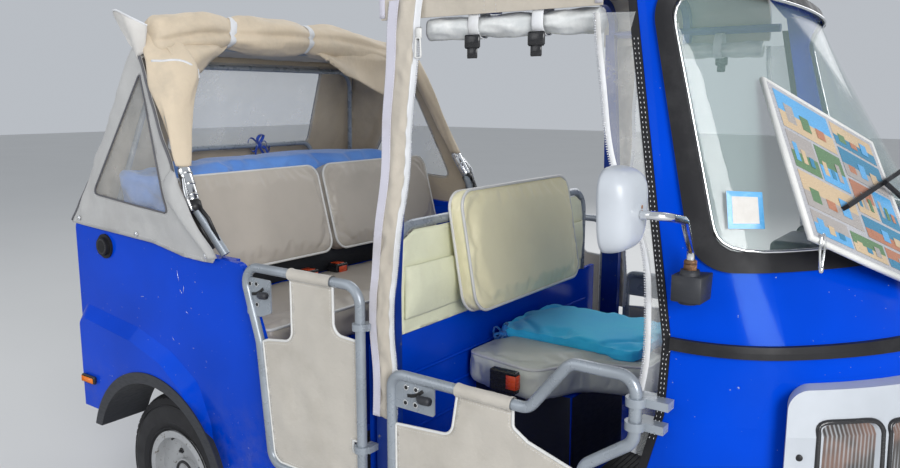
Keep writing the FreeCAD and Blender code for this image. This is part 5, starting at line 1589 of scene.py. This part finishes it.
# Half width of the gap, radius there, outer edge, radius there and skew of each row of blocks
LUG_ROWS = ((0.0045, 0.2500, 0.0205, 0.2497, 0.010), (0.0265, 0.2482, 0.0430, 0.2385, -0.012))


def radial(centre, angle, radius, y):
    return centre + Vector((math.cos(angle) * radius, y, math.sin(angle) * radius))


def lug(centre, angle, width, ends):
    """Tread block between two ends: place across, radius and skew."""
    faces = []
    for low in (-0.002, 0.0028):
        (y0, r0, s0), (y1, r1, s1) = ends
        faces.append([radial(centre, angle + a, r + low, y) for a, r, y in (
            (s0, r0, y0), (width + s0, r0, y0), (width + s1, r1, y1), (s1, r1, y1))])
    return prism(faces[1], faces[0])


def make_wheel(name, body, centre, sides):
    centre = Vector(centre)
    lugs = []
    for angle in turns(LUG_COUNT):
        lugs.append(lug(centre, angle, 0.056, ((-0.0045, 0.2500, 0.0), (0.0045, 0.2500, 0.0))))
        for y0, r0, y1, r1, skew in LUG_ROWS:
            lugs += [lug(centre, angle, 0.062, ((side * y0, r0, 0.0), (side * y1, r1, skew * side)))
                     for side in (-1, 1)]
    piece("tread_" + name, lugs, "tyre_black", body, smooth=False)
    for side in sides:
        label = "%s_%s" % (name, "right" if side < 0 else "left")
        axis = Vector((0, side, 0))

        def hoop(radius, y, size, count, bar):
            return sweep([radial(centre, a, radius, side * y) for a in turns(count)], size, bar, True)

        def discs(count, turn, radius, y, *form):
            return [disc(radial(centre, a + turn, radius, side * y), axis, *form) for a in turns(count)]

        beads = [hoop(0.222, 0.0545, 0.0016, 96, 6), hoop(0.176, 0.0555, 0.0012, 96, 6),
                 hoop(0.150, 0.0550, 0.0018, 96, 6)]
        piece("sidewall_" + label, beads, "tyre_black", body)
        valve = [radial(centre, 1.9, 0.118, side * 0.020), radial(centre, 1.9, 0.112, side * 0.046)]
        bolts = discs(4, 0.4, 0.068, 0.0125, 0.0095, 0.009, 6, 0.15)
        bolts += discs(4, 0.4, 0.068, 0.0215, 0.0045, 0.006, 12, 0.3)
        bolts += [hoop(0.036, 0.031, 0.0045, 40, 8), sweep(valve, [0.004, 0.0034], 8)]
        piece("wheel_bolts_" + label, bolts, "fork_steel", body)
        # Black discs at the rim's holes: painted shade seen through the holes.
        holes = discs(8, 0.8, 0.097, 0.0124, 0.0105, 0.0012, 20, 0.2)
        piece("wheel_hole_shade_" + label, holes, "hole_black", body)


make_wheel("front", "front_wheel", (1.010, 0, 0.250), (-1, 1))
make_wheel("rear_right", "rear_wheel_right", (-0.905, -0.560, 0.250), (-1,))
make_wheel("rear_left", "rear_wheel_left", (-0.905, 0.560, 0.250), (1,))


# Lamps: coloured lenses, dark surrounds and screws
def make_lamps():
    back = Vector((-1, 0, 0))
    housing = NODES["headlamp_housings"]
    front = surface(housing)
    reds, ambers, rims, screws = [], [], [], []

    def hoop(centre, radius, size, count, bar):
        return sweep(ring(centre, Vector((0, radius, 0)), UP * radius, count), size, bar, True)

    for sign in (-1, 1):
        for z, group in ((0.965, reds), (0.909, ambers), (0.853, reds)):
            centre = Vector((-1.3785, sign * 0.575, z))
            group.append(disc(centre, back, 0.0215, 0.007, 32, 0.55))
            group += [hoop(centre + back * 0.0074, r, 0.0008, 32, 5) for r in (0.006, 0.012)]
            rims.append(hoop(centre, 0.0235, 0.0022, 40, 8))
        ambers.append(around(Vector((-1.276, sign * 0.6755, 0.497)), (0.032, 0.002, 0.0095), 0.0018))
        for x in (-1.304 + 0.008 * k for k in range(8)):
            ambers.append(sweep([Vector((x, sign * 0.6778, z)) for z in (0.489, 0.505)], 0.0009, 5))
        for inner, outer, low, high in ((0.480, 0.560, 0.686, 0.846), (0.368, 0.470, 0.686, 0.842)):
            outline = rounded([(inner, low), (outer, low), (outer, high), (inner, high)], 0.018)
            line = [front.ray_cast(Vector((2.0, sign * y, z)), back)[0] for y, z in outline]
            rims.append(sweep([p for p in line if p is not None], 0.0048, 8, True))
        for x, y, z in ((0.834, 0.579, 0.784), (0.842, 0.572, 0.680), (0.85, 0.345, 0.78)):
            place = snapped(housing, [(x, sign * y, z)], 0.0)[0]
            screws.append(disc(place, (0.25, sign, 0), 0.0062, 0.0024, 18, 0.5))
    piece("lenses_red", reds, "lamp_red")
    piece("lenses_amber", ambers, "amber")
    piece("lamp_rims", rims, "lamp_black")
    piece("housing_screws", screws, "fork_steel")


# Blank plate, bolts, lid handle and the ribs of the fuel cap
def make_rear_trim():
    back = Vector((-1, 0, 0))
    piece("number_plate", block((-1.3600, -0.259, 0.816), (-1.3575, 0.259, 0.924), 0.0009), "card_white")
    edge = rounded([(-0.256, 0.819), (0.256, 0.819), (0.256, 0.921), (-0.256, 0.921)], 0.012)
    edge = [Vector((-1.3602, y, z)) for y, z in edge]
    piece("plate_edge", sweep(edge, 0.0011, 6, True), "hole_black")
    bolts = [disc((-1.3598, y, 0.870), back, 0.0068, 0.004, 6, 0.2) for y in (-0.08, 0.08)]
    bolts += [disc((-1.3795, y, 0.770), back, 0.009, 0.004, 20, 0.5) for y in (-0.42, -0.14, 0.14, 0.42)]
    piece("rear_bolts", bolts, "fork_steel")
    bar = curve([(x, y, 0.486) for x, y in ((-1.357, -0.042), (-1.371, -0.038), (-1.374, 0), (-1.371, 0.038),
                                            (-1.357, 0.042))], 0.004)
    handle = [disc((-1.357, y, 0.486), back, 0.010, 0.003) for y in (-0.042, 0.042)]
    piece("lid_handle", [sweep(bar, 0.0042, 10)] + handle, "chrome_bright", "rear_hatch")
    low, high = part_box("fuel_cap")
    middle = (low + high) / 2
    middle.y = low.y + 0.0014
    ribs = ring(middle, Vector((0.0215, 0, 0)), UP * 0.0215, 24)
    piece("fuel_cap_ribs", [around(p, (0.0022, 0.0026, 0.0022), 0.0006) for p in ribs], "trim_black")


make_lamps()
make_rear_trim()


# Handlebar: grips and levers
def make_controls():
    grips, levers = [], []
    for sign in (-1, 1):
        inner, outer = Vector((0.6727, sign * 0.165, 1.0375)), Vector((0.6234, sign * 0.331, 1.032))
        inner = inner.lerp(outer, 0.18)
        points = [inner.lerp(outer, k / 60) for k in range(61)]
        radius = [0.0150 + 0.0011 * (k % 4 < 2) + 0.004 * (k in (0, 1, 58, 59)) for k in range(61)]
        grips.append(sweep(points, radius, 18))
        grips.append(sweep([inner.lerp(outer, -0.16), inner.lerp(outer, -0.02)], 0.017, 16))
        steps = ((-0.08, 0.012, -0.004), (0.0, 0.048, -0.010), (0.5, 0.052, -0.012), (1.0, 0.040, -0.010))
        lever = curve([inner.lerp(outer, t) + Vector((x, 0, z)) for t, x, z in steps], 0.006)
        levers.append(sweep(lever, [0.0046] * (len(lever) - 2) + [0.0066, 0.005], 10))
    piece("grips", grips, "seal_black", "steering")
    piece("levers", levers, "chrome_bright", "steering")


# Floor mats with ribs
def make_mats():
    shapes = []
    for x0, x1, half in ((0.215, 0.655, 0.50), (-0.480, -0.145, 0.56)):
        shapes.append(block((x0, -half, 0.3652), (x1, half, 0.3695), 0.0012))
        for x in (x0 + 0.014 + 0.014 * k for k in range(int((x1 - x0 - 0.03) / 0.014))):
            shapes.append(block((x, -half + 0.02, 0.3690), (x + 0.006, half - 0.02, 0.3715), 0.0008))
    mat = piece("floor_mats", shapes, "seal_black", smooth=False)


# Door canvas lapped over the top tubes
def make_door_lap(name, sign, body, x0, x1, z):
    def reach(i, p, a):
        r = 0.0142 + 0.0008 * noise.noise(Vector((p.x * 50, math.cos(a) * 2, math.sin(a) * 2)))
        r += 0.0011 if i in (0, 1, 29, 30) else 0.0
        return Vector((0, math.cos(a) * r, math.sin(a) * r))

    line = [Vector((x0 + (x1 - x0) * k / 30, sign * 0.648, z)) for k in range(31)]
    sheet(name, tube(line, 24, reach, False), "canvas_door", body=body)
    seam = [Vector((p.x, sign * 0.6508, z - 0.017)) for p in line]
    piece(name + "_seam", stitches(seam), "piping_white", body)


make_controls()
make_mats()
for side_name, side_sign in SIDES:
    make_door_lap("rear_lap_" + side_name, side_sign, "rear_door_" + side_name, -0.341, -0.198, 0.962)
    make_door_lap("front_lap_" + side_name, side_sign, "front_door_" + side_name, 0.165, 0.304, 0.777)


# White thread along both edges of the door seals, fine scratches on the right side
def make_seal_threads():
    shapes = []
    for line in seal_edges(-1) + seal_edges(1):
        smoothed = [(a + p + b) / 3 for a, p, b in neighbours(line, False)[1:-1]]
        shapes.append(stitches(smoothed, 0.005, 0.004, 0.0009))
    piece("seal_threads", shapes, "tape_white")


def make_scratches():
    side = surface(NODES["rear_side_right"])
    shapes = []
    for x, z, dx, dz in ((-0.830, 0.905, 0.006, -0.030), (-0.822, 0.852, 0.010, -0.014),
                         (-0.806, 0.842, 0.004, 0.022), (-0.800, 0.790, 0.012, -0.006),
                         (-1.02, 0.80, 0.016, 0.002), (-0.87, 0.70, 0.008, -0.010)):
        line = [side.ray_cast(Vector((x + dx * t, -2.0, z + dz * t)), Vector((0, 1, 0)))[0]
                for t in (0.0, 0.33, 0.67, 1.0)]
        if None not in line:
            shapes.append(sweep(line, [0.0003, 0.0008, 0.0007, 0.0002], 5))
    piece("scratches", shapes, "zip_metal")


make_seal_threads()
make_scratches()


# Floor and light
FLOOR_REACH = 30.0
# Name, place, size and power of each lamp
LAMPS = (("key", (5.5, -4.2, 2.9), 3.0, 400.0), ("fill", (-3.5, -5.5, 4.0), 5.0, 110.0),
         ("back", (-1.0, 5.5, 4.5), 5.0, 160.0))


def make_stage():
    mesh = bpy.data.meshes.new("floor")
    corners = [(x * FLOOR_REACH, y * FLOOR_REACH, 0) for x, y in ((-1, -1), (1, -1), (1, 1), (-1, 1))]
    mesh.from_pydata(corners, [], [(0, 1, 2, 3)])
    floor = place_in_scene(bpy.data.objects.new("floor", mesh))
    t = Tree("floor")
    grey = t.mix(t.noise(0.8, 3.0), (0.62, 0.62, 0.61), (0.66, 0.66, 0.65))
    floor.data.materials.append(t.finish(grey, None, 0.8))
    world = bpy.data.worlds.new("studio")
    world.use_nodes = True
    sky = world.node_tree.nodes["Background"]
    sky.inputs["Color"].default_value = (0.88, 0.93, 1.0, 1.0)
    sky.inputs["Strength"].default_value = 0.55
    bpy.context.scene.world = world
    for name, place, size, power in LAMPS:
        data = bpy.data.lights.new(name, "AREA")
        data.size = size
        data.energy = power
        lamp = place_in_scene(bpy.data.objects.new(name, data))
        lamp.location = place
        aim = Vector((0, 0, 0.8)) - Vector(place)
        lamp.rotation_euler = aim.to_track_quat("-Z", "Y").to_euler()


make_stage()
bpy.context.scene.view_settings.view_transform = "Standard"
